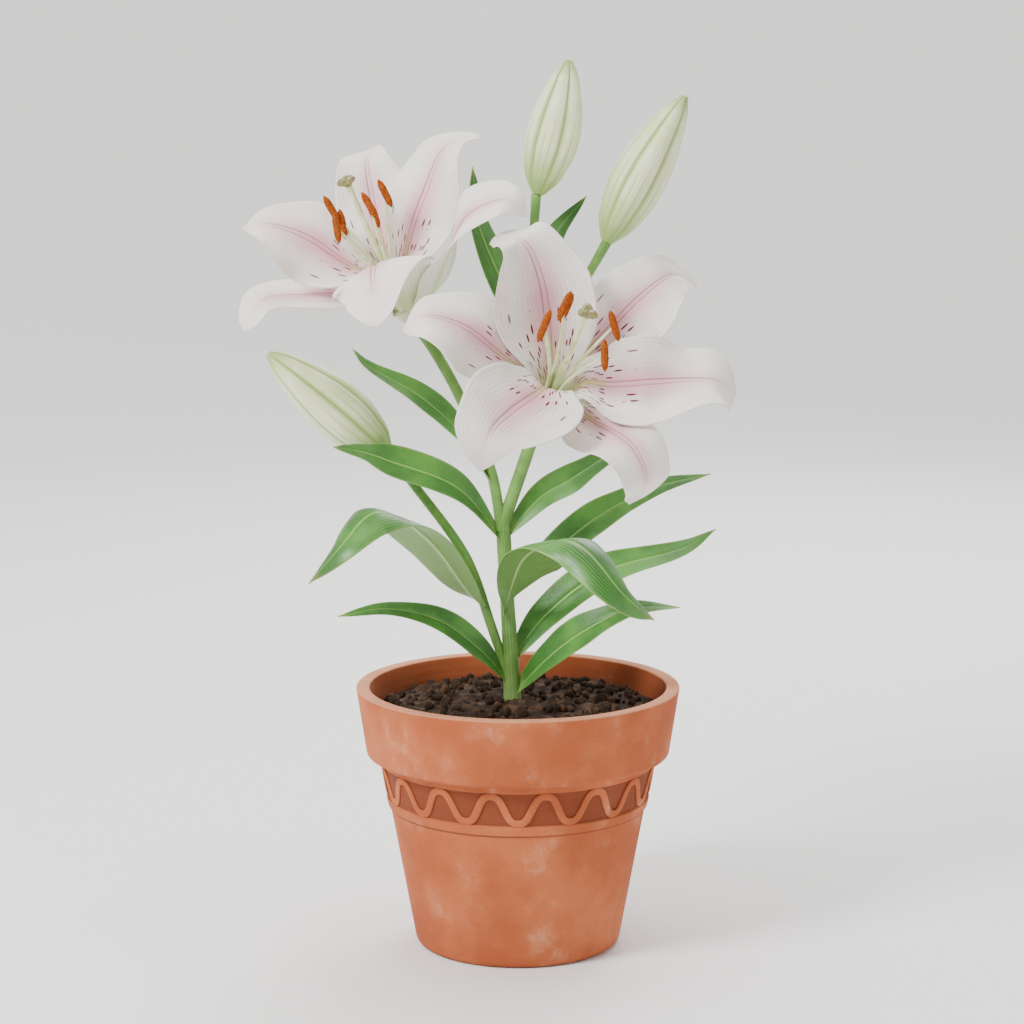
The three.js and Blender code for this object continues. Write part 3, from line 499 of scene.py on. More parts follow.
def lily_tepal():
    """A white lily tepal: soft tissue with fine, slightly wandering lengthwise veins, a green
    nectar furrow at its base, a blushed midrib between two fine lines, and short raised crimson
    dashes on the inner face, which thin out from the base to half way. There are 23 veins across
    about 55 mm, a little coarser than real ones so that they show."""
    made, tree, surface = material("white lily tepal", Roughness=0.5, Specular_IOR_Level=0.35,
                                   Subsurface_Weight=0.1, Subsurface_Scale=0.002)
    place, uv, u, v, face = surface_place(tree)
    off = off_midrib(tree, u)
    patches = patches_of(tree, place, 18, 0.35, 0.7)

    # Veins, stronger towards the base.
    drift = add(tree, "TexNoise", {"Vector": uv, "Scale": 7, "Detail": 2})
    drifted = add(tree, "Math", [u, add(tree, "Math", [drift, 0.07], **TIMES)], **PLUS)
    veins = veins_across(tree, drifted, 23, 0.3)
    shown = add(tree, "MapRange", [v, 0.1, 0.5, 0.5, 0.2], **S_CURVE)
    shown = add(tree, "Math", [veins, shown], **TIMES)

    # The blush along the middle, the nectar furrow and the throat.
    middle = add(tree, "MapRange", [off, 0, 0.6, 1, 0], **S_CURVE)
    blush = add(tree, "MapRange", [v, 0.45, 0.97, 0.8, 0.1], **S_CURVE)
    blush = add(tree, "Math", [middle, blush], **TIMES)
    narrow = add(tree, "MapRange", [off, 0.05, 0.2, 0.9, 0], **S_CURVE)
    furrow = add(tree, "MapRange", [v, 0.2, 0.5, 1, 0], **S_CURVE)
    furrow = add(tree, "Math", [narrow, furrow], **TIMES)
    throat = add(tree, "MapRange", [v, 0.04, 0.26, 0.85, 0], **S_CURVE)

    # A fine line on each side of the midrib.
    beside = add(tree, "Math", [off, 0.055], **LESS)
    beside = add(tree, "Math", [beside], **SIZE_OF)
    pair = add(tree, "MapRange", [beside, 0.008, 0.024, 1, 0], **S_CURVE)
    pair = add(tree, "Math", [pair, add(tree, "MapRange", [v, 0.74, 0.9, 1, 0], **S_CURVE)], **TIMES)
    drawn = add(tree, "Math", [pair, 0.7], **TIMES)

    # Dashes of about 1 mm by 4.5 mm: one at the point of each cell, and fewer outwards.
    grid = add(tree, "Mapping", {"Vector": uv, "Scale": (15, 19, 1)})
    cells = add(tree, "TexVoronoi", {"Vector": grid, "Scale": 1, "Randomness": 0.85},
                voronoi_dimensions="2D").node.outputs
    away = add(tree, "VectorMath", [grid, cells["Position"]], **LESS)
    away = add(tree, "VectorMath", [away, (1, 0.38, 0)], **TIMES)
    away = add(tree, "VectorMath", [away], 1, operation="LENGTH")
    dash = add(tree, "MapRange", [away, 0.13, 0.17, 1, 0], **S_CURVE)
    chance = add(tree, "MapRange", [v, 0.18, 0.62, 0.1, 1], **S_CURVE)
    chosen = add(tree, "Math", [add(tree, "SeparateColor", [cells["Color"]]), chance], **LESS)
    for limit in (add(tree, "MapRange", [chosen, 0, 0.03], **S_CURVE),
                  add(tree, "MapRange", [v, 0.12, 0.17], **S_CURVE),
                  add(tree, "MapRange", [off, 0.66, 0.84, 1, 0], **S_CURVE),
                  add(tree, "MapRange", [off, 0.09, 0.13], **S_CURVE),
                  add(tree, "MapRange", [face, 0.6, 0.9], **S_CURVE)):
        dash = add(tree, "Math", [dash, limit], **TIMES)
    colour = add(tree, "Mix", {0: patches, 6: "F3EFE8", 7: "ECE4DC"}, **COLOURS)
    for amount, code in ((shown, "D3AEB0"), (blush, "DC8CA2"), (furrow, "B7C86C"),
                         (throat, "C3D080"), (drawn, "B0707C"), (dash, "6E0F2B")):
        colour = add(tree, "Mix", {0: amount, 6: colour, 7: code}, **COLOURS)

    # The outer face: greener at its base and along its keel, and faintly blushed at its tip.
    keel = add(tree, "MapRange", [off, 0.04, 0.3, 0.75, 0], **S_CURVE)
    base = add(tree, "MapRange", [v, 0.05, 0.35, 0.75, 0], **S_CURVE)
    tip = add(tree, "MapRange", [v, 0.45, 0.95, 0, 0.35], **S_CURVE)
    outer = add(tree, "Mix", {0: keel, 6: "EDEADF", 7: "C3CF92"}, **COLOURS)
    for amount, code in ((base, "BCCB8C"), (tip, "E5C3CA"),
                         (add(tree, "Math", [veins, 0.4], **TIMES), "BDBF9E")):
        outer = add(tree, "Mix", {0: amount, 6: outer, 7: code}, **COLOURS)
    colour = add(tree, "Mix", {0: face, 6: outer, 7: colour}, **COLOURS)

    height = add(tree, "TexNoise", {"Vector": place, "Scale": 1000 / 1.3, **FINE})
    for value, share in ((veins, -0.8), (dash, 2.5), (pair, -1.5)):
        height = add(tree, "Math", [height, add(tree, "Math", [value, share], **TIMES)], **PLUS)
    finish(tree, surface, colour, height, depth_mm=0.22, strength=0.6)
    return made


def lily_bud():
    """A closed bud: waxy, creamy green, greener towards its stalk, tip and furrows. Fine strands
    run its length, 48 round it, about 2 mm apart at its widest."""
    made, tree, surface = material("waxy lily bud", Roughness=0.42, Specular_IOR_Level=0.45,
                                   Coat_Weight=0.1, Coat_Roughness=0.35, Subsurface_Weight=0.12,
                                   Subsurface_Scale=0.003)
    place, _, u, v, furrow = surface_place(tree)
    patches = patches_of(tree, place, 16, 0.35, 0.7)
    strands = veins_across(tree, u, 48, 0.2)
    shown = add(tree, "Math", [strands, 0.4], **TIMES)
    deep = add(tree, "Math", [furrow, 0.95], **TIMES)
    base = add(tree, "MapRange", [v, 0, 0.4, 0.95, 0], **S_CURVE)
    tip = add(tree, "MapRange", [v, 0.84, 1, 0, 0.85], **S_CURVE)
    colour = add(tree, "Mix", {0: patches, 6: "E4E8C4", 7: "D6DEA8"}, **COLOURS)
    for amount, code in ((shown, "BECA82"), (deep, "8DA650"), (base, "93B05A"), (tip, "8FAE57")):
        colour = add(tree, "Mix", {0: amount, 6: colour, 7: code}, **COLOURS)
    height = add(tree, "TexNoise", {"Vector": place, "Scale": 1000 / 2.5, **FINE})
    height = add(tree, "Math", [height, add(tree, "Math", [strands, -0.7], **TIMES)], **PLUS)
    finish(tree, surface, colour, height, depth_mm=0.3, strength=0.45)
    return made


def green_stem():
    """A living stem: smooth waxy green with 16 fine lengthwise strands and darker patches of
    14 mm, earthy near the soil and pale where it leads into a flower."""
    made, tree, surface = material("green lily stem", Roughness=0.42, Specular_IOR_Level=0.45,
                                   Coat_Weight=0.1, Coat_Roughness=0.3)
    place, _, u, _, stalk = surface_place(tree)
    z = add(tree, "SeparateXYZ", [place], "Z")
    patches = patches_of(tree, place, 14, 0.35, 0.7)
    strands = veins_across(tree, u, 16, 0.2)
    shown = add(tree, "Math", [strands, 0.35], **TIMES)
    earthy = add(tree, "MapRange", [z, 0.13, 0.17, 0.55, 0], **S_CURVE)
    colour = add(tree, "Mix", {0: patches, 6: "4F7D2E", 7: "6E9A43"}, **COLOURS)
    for amount, code in ((shown, "8BB35A"), (earthy, "8D9B62")):
        colour = add(tree, "Mix", {0: amount, 6: colour, 7: code}, **COLOURS)
    colour = add(tree, "Mix", {0: stalk, 6: "D3DAB4", 7: colour}, **COLOURS)
    height = add(tree, "TexNoise", {"Vector": place, "Scale": 1000 / 2, **FINE})
    height = add(tree, "Math", [height, strands], **LESS)
    finish(tree, surface, colour, height, depth_mm=0.2, strength=0.5)
    return made


def plain_tissue(name, first, second, size_mm, depth_mm, **shader):
    """Soft plant tissue of two close colours in patches, with a fine grain of size_mm."""
    made, tree, surface = material(name, **shader)
    place = add(tree, "TexCoord", [], "Object")
    grain = add(tree, "TexNoise", {"Vector": place, "Scale": 1000 / size_mm, "Detail": 3, "Roughness": 0.6})
    patches = add(tree, "MapRange", [grain, 0.38, 0.64], **S_CURVE)
    colour = add(tree, "Mix", {0: patches, 6: first, 7: second}, **COLOURS)
    finish(tree, surface, colour, grain, depth_mm, strength=0.7)
    return made


CLAY = fired_clay()
SOIL = potting_soil()
LEAF = lily_leaf()
TEPAL = lily_tepal()
BUD = lily_bud()
STEM = green_stem()
# Anther skin split open and covered with rust-brown pollen: powdery, with no gloss.
POLLEN = plain_tissue("pollen", "7C3410", "A85A22", size_mm=0.7, depth_mm=0.35, Roughness=1.0,
                      Specular_IOR_Level=0.1)
# Filaments and style: pale, moist, slightly clear tissue.
FILAMENT = plain_tissue("filament", "E4EBC4", "CBD99A", size_mm=5, depth_mm=0.1, Roughness=0.4,
                        Specular_IOR_Level=0.4, Subsurface_Weight=0.15, Subsurface_Scale=0.002)
# Stigma: sticky, so glossy, and darker than the style.
STIGMA = plain_tissue("stigma", "8B8A4A", "6E5A3E", size_mm=1.6, depth_mm=0.3, Roughness=0.25,
                      Coat_Weight=0.4, Coat_Roughness=0.1)
# Bulb scales: fleshy and cream, with a dry skin in places.
SCALE = plain_tissue("bulb scale", "EFE4C2", "D8C49A", size_mm=7, depth_mm=0.3, Roughness=0.6)


# The pot

def slope(z):
    """Radius of the pot's plain wall at a height."""
    return FOOT_RADIUS + (BODY_TOP_RADIUS - FOOT_RADIUS) * (z - FOOT_ROUNDING) / (
        COLLAR_BOTTOM - FOOT_ROUNDING)


# Radius and height of the pot's inside: the floor's edge, the wall's foot, and at the collar.
INSIDE = [(slope(0) - WALL - 2.5, FLOOR_THICKNESS), (slope(0) - WALL, FLOOR_THICKNESS + 3),
          (slope(COLLAR_BOTTOM) - WALL, COLLAR_BOTTOM - 2)]


def filleted(points, reach):
    """A profile with each inner corner replaced by a curve that starts and ends reach before it
    and after it, or at most 0.45 of the way to the next corner."""
    points = np.asarray(points, float)
    before, here, after = points[:-2], points[1:-1], points[2:]
    reach = np.asarray(reach, float)[:, None]
    back, on = before - here, after - here
    start = here + unit(back) * np.minimum(reach, 0.45 * np.linalg.norm(back, axis=1, keepdims=True))
    end = here + unit(on) * np.minimum(reach, 0.45 * np.linalg.norm(on, axis=1, keepdims=True))
    t = np.linspace(0, 1, 5)[None, :, None]
    curve = (1 - t) ** 2 * start[:, None] + 2 * t * (1 - t) * here[:, None] + t ** 2 * end[:, None]
    return np.concatenate([points[:1], curve.reshape(-1, 2), points[-1:]])


def turned(profile, sides):
    """A profile of radius and height turned about the pot's axis."""
    angle = np.linspace(0, 2 * math.pi, sides, endpoint=False)
    r, z = profile[:, :1], profile[:, 1:]
    return np.stack([r * np.cos(angle), r * np.sin(angle), z + 0 * angle], -1)


def pot():
    """The turned body with rounded edges, drained by three holes, and its ribbon. A corner is a
    radius, a height and how far its rounding reaches. They go from the foot's middle up the
    outside and down the inside, and a middle point closes each end."""
    top = UPPER_STRIP_BOTTOM
    corners = np.array([
        (0.2, 0, 0), (FOOT_RADIUS - 0.6, 0, 4), (slope(LOWER_STRIP[0]), LOWER_STRIP[0], 0.5),
        (slope(LOWER_STRIP[0]) + RELIEF, LOWER_STRIP[0] + 0.6, 0.6),
        (slope(LOWER_STRIP[1]) + RELIEF, LOWER_STRIP[1] - 0.6, 0.6),
        (slope(LOWER_STRIP[1]), LOWER_STRIP[1], 0.5), (slope(top), top, 0.5),
        (slope(top) + RELIEF, top + 0.6, 0.6), (slope(COLLAR_BOTTOM) + RELIEF, COLLAR_BOTTOM, 0.8),
        (COLLAR_BOTTOM_RADIUS, COLLAR_BOTTOM, 2.2), (RIM_RADIUS, POT_HEIGHT, 1.2),
        (RIM_INNER_RADIUS, POT_HEIGHT, 1.2), (RIM_INNER_RADIUS - 2, POT_HEIGHT - 15, 8),
        (slope(COLLAR_BOTTOM) - WALL, COLLAR_BOTTOM - 2, 8), (slope(0) - WALL, FLOOR_THICKNESS, 5),
        (0.2, FLOOR_THICKNESS, 0)])
    profile = filleted(corners[:, :2], corners[1:-1, 2])
    body = piece("clay_pot", [part(turned(profile, POT_SIDES))], [CLAY], "clay", "pot")
    pin = turned(np.array([(DRAIN_RADIUS, -5), (DRAIN_RADIUS, 2 * FLOOR_THICKNESS)]), 32)
    turns = [math.pi / 2 + 2 * math.pi * k / DRAIN_COUNT for k in range(DRAIN_COUNT)]
    pins = mesh_of("drain", [
        part(pin + [DRAIN_CIRCLE * math.cos(at), DRAIN_CIRCLE * math.sin(at), 0]) for at in turns])
    pins.shade_flat()
    drain = placed("drain", pins)
    cut = body.modifiers.new("drain", "BOOLEAN")
    cut.operation, cut.solver, cut.object = "DIFFERENCE", "EXACT", drain
    bpy.context.view_layer.update()
    done = bpy.data.meshes.new_from_object(body.evaluated_get(bpy.context.evaluated_depsgraph_get()))
    body.modifiers.clear()
    body.data = done
    bpy.data.objects.remove(drain)
    ribbon()


def ribbon():
    """The raised ribbon: a rounded band round the pot, with a trough at the front. Its middle line
    is minus a cosine c made fuller by a share of c less its cube, so the crests are broad. Its
    width is measured square to the wave. Its section is a circle pressed towards a square."""
    middle = (LOWER_STRIP[1] + UPPER_STRIP_BOTTOM) / 2
    swing = (UPPER_STRIP_BOTTOM - LOWER_STRIP[1] - RIBBON_WIDTH) / 2 + 0.5
    angle = np.linspace(0, 2 * math.pi, WAVE_COUNT * 28, endpoint=False)[:, None]
    c = np.cos(WAVE_COUNT * angle)
    z = middle - swing * (c + RIBBON_FULLNESS * (c - c ** 3))
    steepness = 1 + RIBBON_FULLNESS * (1 - 3 * c * c)
    climb = swing * WAVE_COUNT * np.sin(WAVE_COUNT * angle) * steepness / slope(middle)
    flat = 1 / np.hypot(1, climb)
    turn = np.linspace(0, 2 * math.pi, 16, endpoint=False)[None, :]
    squared = lambda value: np.sign(value) * np.abs(value) ** 0.6
    away = RIBBON_WIDTH / 2 * squared(np.cos(turn))
    proud = -RIBBON_SUNK + (RELIEF + RIBBON_SUNK) * (0.5 + 0.5 * squared(np.sin(turn)))
    height = z + away * flat
    at = angle - math.pi / 2 - away * climb * flat / slope(middle)
    radius = slope(height) + proud
    grid = np.stack([radius * np.cos(at), radius * np.sin(at), height], -1)
    piece("clay_ribbon", [part(grid, joined=True)], [CLAY], "clay", "pot")


# What is in the pot

def bulb_radius(s, angle):
    """Belly of the bulb: a swollen curve that closes at both ends, with six scales in each whorl
    set half a scale round from the whorl below."""
    belly = BULB_RADIUS * (0.3 + 0.7 * np.sin(math.pi * np.minimum(1, s * 0.8 + 0.18)) ** 0.8)
    level = s * 9
    side = np.cos(6 * angle + math.pi * (np.floor(level) % 2))
    lap = (level % 1) - 0.5
    return belly * (1 + 0.05 * np.sin(math.pi * s) * (side + lap))


def bulb():
    """The bulb: rings of its belly, one above the other on the pot's axis."""
    angle = np.linspace(0, 2 * math.pi, 144, endpoint=False)[None, :]
    s = np.linspace(0, 1, 120)[:, None]
    r = bulb_radius(s, angle)
    z = BULB_BOTTOM + (BULB_TOP - BULB_BOTTOM) * s + 0 * angle
    piece("scaly_bulb", [part(np.stack([r * np.cos(angle), r * np.sin(angle), z], -1))], [SCALE],
          "bulb", "bulb")


def mound(share):
    """Height of the soil's plain top, at a share of the way out to its edge: a low dome."""
    return SOIL_EDGE - 1 + SOIL_MOUND * (1 - share * share)


def soil():
    """One closed skin: the hollow round the bulb, the hole round the stem, the crumbly top, and
    the side and bottom inside the pot. The top's height is a low mound plus many small bells."""
    draw = np.random.default_rng(4)
    angle = np.linspace(0, 2 * math.pi, SOIL_SIDES, endpoint=False)[None, :]
    s = np.linspace(0, 1, 24)[:, None]
    hollow = bulb_radius(s, angle) + BULB_ROOM
    low = np.stack([hollow * np.cos(angle), hollow * np.sin(angle),
                    BULB_BOTTOM - 1 + (BULB_TOP - BULB_BOTTOM + 2) * s + 0 * angle], -1)
    tall = np.linspace(BULB_TOP + 2, SOIL_EDGE + 2.5, 8)[:, None]
    hole = STEM_RADIUS + GAP
    shaft = np.stack([hole * np.cos(angle) + STEM_X + 0 * tall, hole * np.sin(angle) + 0 * tall,
                      tall + 0 * angle], -1)
    edge = RIM_INNER_RADIUS - 2 - GAP
    share = np.linspace(hole / edge, 1, 150)[:, None]
    radius = edge * share
    x = radius * np.cos(angle) + STEM_X * (1 - share)
    y = radius * np.sin(angle)
    z = mound(share) + 0 * angle
    for _ in range(LUMP_COUNT):
        turn, out = draw.uniform(0, 2 * math.pi), edge * math.sqrt(draw.uniform(0.004, 1))
        size = draw.uniform(2, 7.5)
        away = ((x - out * math.cos(turn)) ** 2 + (y - out * math.sin(turn)) ** 2) / size ** 2
        z = z + draw.uniform(-0.12, 0.34) * size * np.exp(-away * 2.5)
    top = np.stack([x, y, z], -1)
    wall = np.array([(edge, SOIL_EDGE - 4), (INSIDE[2][0] - GAP, INSIDE[2][1]),
                     (INSIDE[1][0] - GAP, INSIDE[1][1]), (INSIDE[0][0] - GAP, INSIDE[0][1] + GAP)])
    grid = np.concatenate([low, shaft, top, turned(wall, SOIL_SIDES)])
    piece("soil_body", [part(grid)], [SOIL], "soil", "soil")
    crumbs(draw, edge)


def crumbs(draw, edge):
    """Loose crumbs: one low, lumpy ball copied about the top, each stretched and turned, and sunk
    by a third of its size."""
    tilt = np.linspace(0.25, math.pi - 0.25, 5)[:, None]
    angle = np.linspace(0, 2 * math.pi, 8, endpoint=False)[None, :]
    ball = np.stack([np.sin(tilt) * np.cos(angle), np.sin(tilt) * np.sin(angle),
                     np.cos(tilt) + 0 * angle], -1)
    parts = []
    for _ in range(CRUMB_COUNT):
        turn, share = draw.uniform(0, 2 * math.pi), math.sqrt(draw.uniform(0.01, 0.93))
        out, size = edge * share, draw.uniform(0.8, 2.9) ** 1.1
        shape = ball * (1 + draw.uniform(-0.22, 0.22, ball.shape[:2]))[..., None]
        shape = shape * size * draw.uniform(0.7, 1.2, 3)
        c, w = math.cos(turn * 5), math.sin(turn * 5)
        shape = shape @ np.array([[c, w, 0], [-w, c, 0], [0, 0, 1]])
        z = mound(share) + 0.45 * size + 0.4
        parts.append(part(shape + [out * math.cos(turn), out * math.sin(turn), z]))
    piece("soil_crumbs", parts, [SOIL], "soil", "soil")


# The plant: each flower's receptacle, the way it faces, its tepals, its stamens and its stigma.
# A tepal's stations are its distance from the flower's axis and its height along it, from base
# to tip, and its half widths left and right of the midrib are evenly spaced along it. Its rims,
# where it has any, are degrees of turn near its left and its right edge. A stamen has its turn,
# reach and height, and the way its anther lies.

FLOWERS = [
    dict(name="flower_left",
         base=(-63.6, 24, 353.8),
         axis=(-0.387, -0.166, 0.907),
         tepals=[
             dict(whorl="inner", name="left", turn=(175, 182), roll=(0, -15, -55, -30, -15),
                  arch=((5.9, -0.8), (9, 23), (18, 35), (33, 58), (49, 72), (63, 76)),
                  left=(2, 4, 6.5, 12, 20.5, 16, 10.5, 1), right=(2, 7.5, 17.5, 24.5, 28.5, 28.5, 21.5, 5)),
             dict(whorl="outer", name="low_left", turn=(192, 196), roll=(0, -15, -15, -15, -35),
                  arch=((6.8, -2), (13, 17), (27, 22), (46, 30), (69, 38), (85, 27)),
                  left=(2, 7, 13, 17.5, 18.5, 17, 15, 5), right=(2, 13, 26, 34, 35.5, 32, 19, 1),
                  rims=((0, 0), (0, 30, 60, 55, 48, 35, 10))),
             dict(whorl="outer", name="back", turn=(91, 80), roll=(0, 10, 15, 15, 0),
                  arch=((6.8, -2), (12, 20), (24, 36), (40, 56), (56, 73), (81, 75)),
                  left=(2, 6.5, 12.5, 18, 20.5, 18.5, 10.5, 1), right=(2, 6.5, 13, 18.5, 21, 18, 12, 1)),
             dict(whorl="inner", name="right", turn=(42, 36), roll=(0, 45, 50, 10, 15),
                  arch=((5.9, -0.8), (10, 17), (23, 33), (42, 49), (66, 66), (90, 62)),
                  left=(2, 7, 15.5, 22.5, 24.5, 23, 15.5, 1), right=(2, 5, 9.5, 16, 20.5, 21, 17, 8)),
             dict(whorl="outer", name="low_right", turn=(336, 340), roll=(-10, -20, 20, 15, 10),
                  arch=((6.8, -2), (22, 5), (40, 23), (60, 39), (84, 41), (92, 28)),
                  left=(3, 10, 15.5, 19, 20.5, 18, 11.5, 1), right=(2, 7, 14, 20, 22, 17.5, 11, 1)),
             dict(whorl="inner", name="front", cup="bent_back", turn=(281, 263), roll=(0, -20, -10, 25, 10),
                  arch=((5.9, -0.8), (17, 16), (26, 29), (35, 36), (49, 29), (67, 12)),
                  left=(3, 8, 16, 26.5, 30.5, 29, 20.5, 3.5),
                  right=(5, 20.5, 24.5, 29, 34, 29, 18.5, 6)),
         ],
         stamens=[
             (175, 14, 66, (-0.5, 0, 0.86)),
             (221, 18, 58, (-0.15, 0, 0.98)),
             (309, 12, 62, (-0.5, 0, 0.85)),
             (19, 17, 62, (-0.45, 0, 0.9)),
             (75, 16, 52, (-0.4, 0.3, 0.9)),
             (172, 12, 56, (-0.2, 0, 0.98)),
         ],
         stigma=(280, 5)),
    dict(name="flower_right",
         base=(15.1, -22, 304.9),
         axis=(0.283, -0.609, 0.741),
         tepals=[
             dict(whorl="inner", name="top", turn=(100, 134), roll=(0, -10, -15, 0, -30),
                  arch=((5.9, -0.8), (10, 17), (22, 34), (39, 58), (57, 72), (71, 60)),
                  left=(2, 8.5, 18.5, 26, 26, 20, 16.5, 8.5), right=(2, 8, 20.5, 30, 32.5, 28, 18, 1)),
             dict(whorl="outer", name="high_right", turn=(57, 44), roll=(0, 10, 15, 10, 20),
                  arch=((6.8, -2), (17, 18), (36, 34), (57, 52), (77, 61), (105, 41)),
                  left=(2, 7.5, 15, 22, 24.5, 19, 10, 1), right=(2, 7.5, 14, 19.5, 21, 16.5, 12.5, 4.5)),
             dict(whorl="inner", name="right", turn=(347, 364), roll=(0, 15, 20, -15, 25),
                  arch=((5.9, -0.8), (13, 24), (28, 29), (54, 39), (79, 43), (98, 32)),
                  left=(2, 7, 18.5, 29, 31, 29, 20, 3.5), right=(2, 8, 16.5, 24, 26, 26.5, 21.5, 5.5)),
             dict(whorl="outer", name="low_right", turn=(313, 306), roll=(0, 10, 10, -10, 10),
                  arch=((6.8, -2), (15, 12), (33, 21), (60, 31), (78, 22), (76, 2)),
                  left=(2, 7.5, 16.5, 25, 27.5, 23.5, 15, 1), right=(2, 7, 12.5, 17, 19.5, 18.5, 14, 1.5)),
             dict(whorl="inner", name="front", turn=(230, 240), roll=(0, 10, 0, -15, -30),
                  arch=((5.9, -0.8), (11, 22), (25, 27), (54, 36), (80, 41), (82, 15)),
                  left=(2, 7, 15.5, 23, 27.5, 25, 16.5, 1.5), right=(2, 8.5, 19.5, 31, 31.5, 22, 13, 2.5)),
             dict(whorl="outer", name="left", turn=(172, 177), roll=(0, -15, -25, 0, -15),
                  arch=((6.8, -2), (17, 17), (36, 29), (58, 41), (79, 42), (88, 29)),
                  left=(2, 7, 13.5, 19.5, 21, 16, 11, 1), right=(2, 7, 14.5, 22, 26, 23, 15.5, 2)),
         ],
         stamens=[
             (190, 20, 62, (0.37, 0, 0.93)),
             (128, 15, 64, (0.4, 0, 0.91)),
             (20, 20, 62, (-0.28, 0, 0.96)),
             (313, 20, 60, (-0.02, 0, 1)),
             (108, 19, 57, (0.4, 0, 0.91)),
             (170, 18, 54, (0.37, 0, 0.93)),
         ],
         stigma=(253, 5)),
]

# Cups: how many degrees a blade turns from its midrib to its edge, at even steps along it.
CUPS = {
    "inner": (45, 40, 40, 28, 18, 12, 8),
    "outer": (45, 18, 14, 10, 8, 8, 8),
    "bent_back": (35, 30, 5, -25, -30, -20, -10),
    "leaf": (30, 22, 16, 12, 10),
    "left_fold": (30, 5, -5, -25, -50, -25, -25),
    "right_fold": (0, -15, -30, -40, -50, -25, -5),
}


def flower_frame(flower):
    """A flower's axis, and functions for the way out at a turn and for a place. Turn 0 is to the
    right, and turn 90 is away from the front."""
    base, up = np.array(flower["base"], float), unit(np.array(flower["axis"], float))
    right = unit(np.array([1, 0, 0]) - up[0] * up)
    away = np.cross(up, right)

    def outward(turn):
        turn = np.radians(turn)
        return np.cos(turn)[..., None] * right + np.sin(turn)[..., None] * away

    def at(turn, reach, height):
        return base + np.multiply.outer(height, up) + np.asarray(reach)[..., None] * outward(turn)

    return up, outward, at


def tepal(flower, whorl, name, turn, roll, arch, left, right, cup=None, rims=NO_RIMS):
    """One tepal, along its stations, while it turns round the axis from its first turn to its
    last."""
    up, outward, at = flower_frame(flower)
    reach, height = np.array(arch, float).T
    path = lambda s: at(along(turn, s), along(reach, s), along(height, s))
    side = np.cross(up, outward(np.array((turn[0] + turn[1]) / 2)))
    made = blade(path, side, left, right, CUPS[cup or whorl], roll, TEPAL_THICKNESS, steps=110,
                 columns=44, rims=rims, wave=2.2, waves=1.6, phase=turn[0] / 120, ruffle=0.35,
                 groove=0.9, groove_width=6)
    node = f"{flower['name']}_tepal_{name}"
    piece(f"{node}_fine", [made], [TEPAL], "tepal", node)


def anther_section(s, angle):
    """Two pollen sacs with a furrow between them on each side."""
    return 1 - 0.2 * bump(np.sin(angle - math.pi / 2), 0.9)


def stamens(flower):
    """Six filaments, each balancing its anther across its tip, on a small ring."""
    up, outward, at = flower_frame(flower)
    parts = []
    for turn, reach, height, tilt in flower["stamens"]:
        spots = [(3.3, 0.8), (4.6, 20), (reach * 0.5, height * 0.62), (reach, height)]
        through = [at(np.array(turn), r, h) for r, h in spots]
        side = np.cross(up, outward(np.array(turn)))
        parts.append(rod(through, (1.1, 0.95, 0.85, 0.55), steps=40, sides=12, side=side))
        middle, lie = through[-1], unit(np.array(tilt, float)) * ANTHER_LENGTH / 2
        bow = np.array([0, 0.9, 0])
        spine = [middle - lie - bow, middle - lie * 0.5, middle + bow * 0.4, middle + lie * 0.5,
                 middle + lie - bow]
        radii = np.array([0.15, 0.72, 0.95, 1, 1, 1, 0.95, 0.72, 0.15]) * ANTHER_RADIUS
        parts.append(rod(spine, radii, steps=44, sides=20, section=anther_section, material=1))
    angle = np.arange(0, 360, 15)
    ring = [at(angle, np.full(len(angle), r), np.full(len(angle), h))
            for r, h in ((2.5, GAP), (4.2, GAP), (4.2, 1.5), (2.5, 1.5))]
    parts.append(part(np.stack(ring), joined=True))
    node = f"{flower['name']}_stamens"
    piece(f"{node}_fine", parts, [FILAMENT, POLLEN], "stamen", node)


def pistil(flower):
    """Grooved ovary, style and a stigma with three lobes."""
    up, outward, at = flower_frame(flower)
    turn, reach = flower["stigma"]
    spots = [(0, GAP), (0.4, 18), (reach * 0.3, 40), (reach * 0.65, 60), (reach, PISTIL_LENGTH)]
    through = [at(np.array(turn), r, h) for r, h in spots]
    grooved = lambda s, angle: 1 - 0.12 * (1 - smooth(s, 0.2, 0.35)) * bump(np.sin(3 * angle), 0.8)
    column = rod(through, (1.8, 2.2, 1.8, 1.6, 1.5, 1.6, 2), steps=70, section=grooved,
                 side=np.cross(up, outward(np.array(turn))))
    top = through[-1]
    angle = np.linspace(0, 2 * math.pi, 48, endpoint=False)[None, :]
    s = np.linspace(0, 1, 17)[:, None]
    size = along((1.5, 2.6, 4.3, 4.7, 4.1, 2.4, 0.4), s[:, 0])[:, None]
    lobes = 1 + 0.26 * np.cos(3 * angle) * smooth(s, 0.05, 0.4)
    rise = along((-3, -1.6, -0.3, 1, 2.3, 2.9, 2.2), s[:, 0])[:, None]
    crease = 0.7 * bump(np.sin(1.5 * (angle + math.pi)), 0.7) * smooth(s, 0.5, 0.9)
    way = outward(np.degrees(angle) + 90)
    grid = top + up * (rise - crease)[..., None] + way * (size * lobes)[..., None]
    node = f"{flower['name']}_pistil"
    piece(f"{node}_fine", [column, part(grid, material=1)], [FILAMENT, STIGMA], "pistil", node)


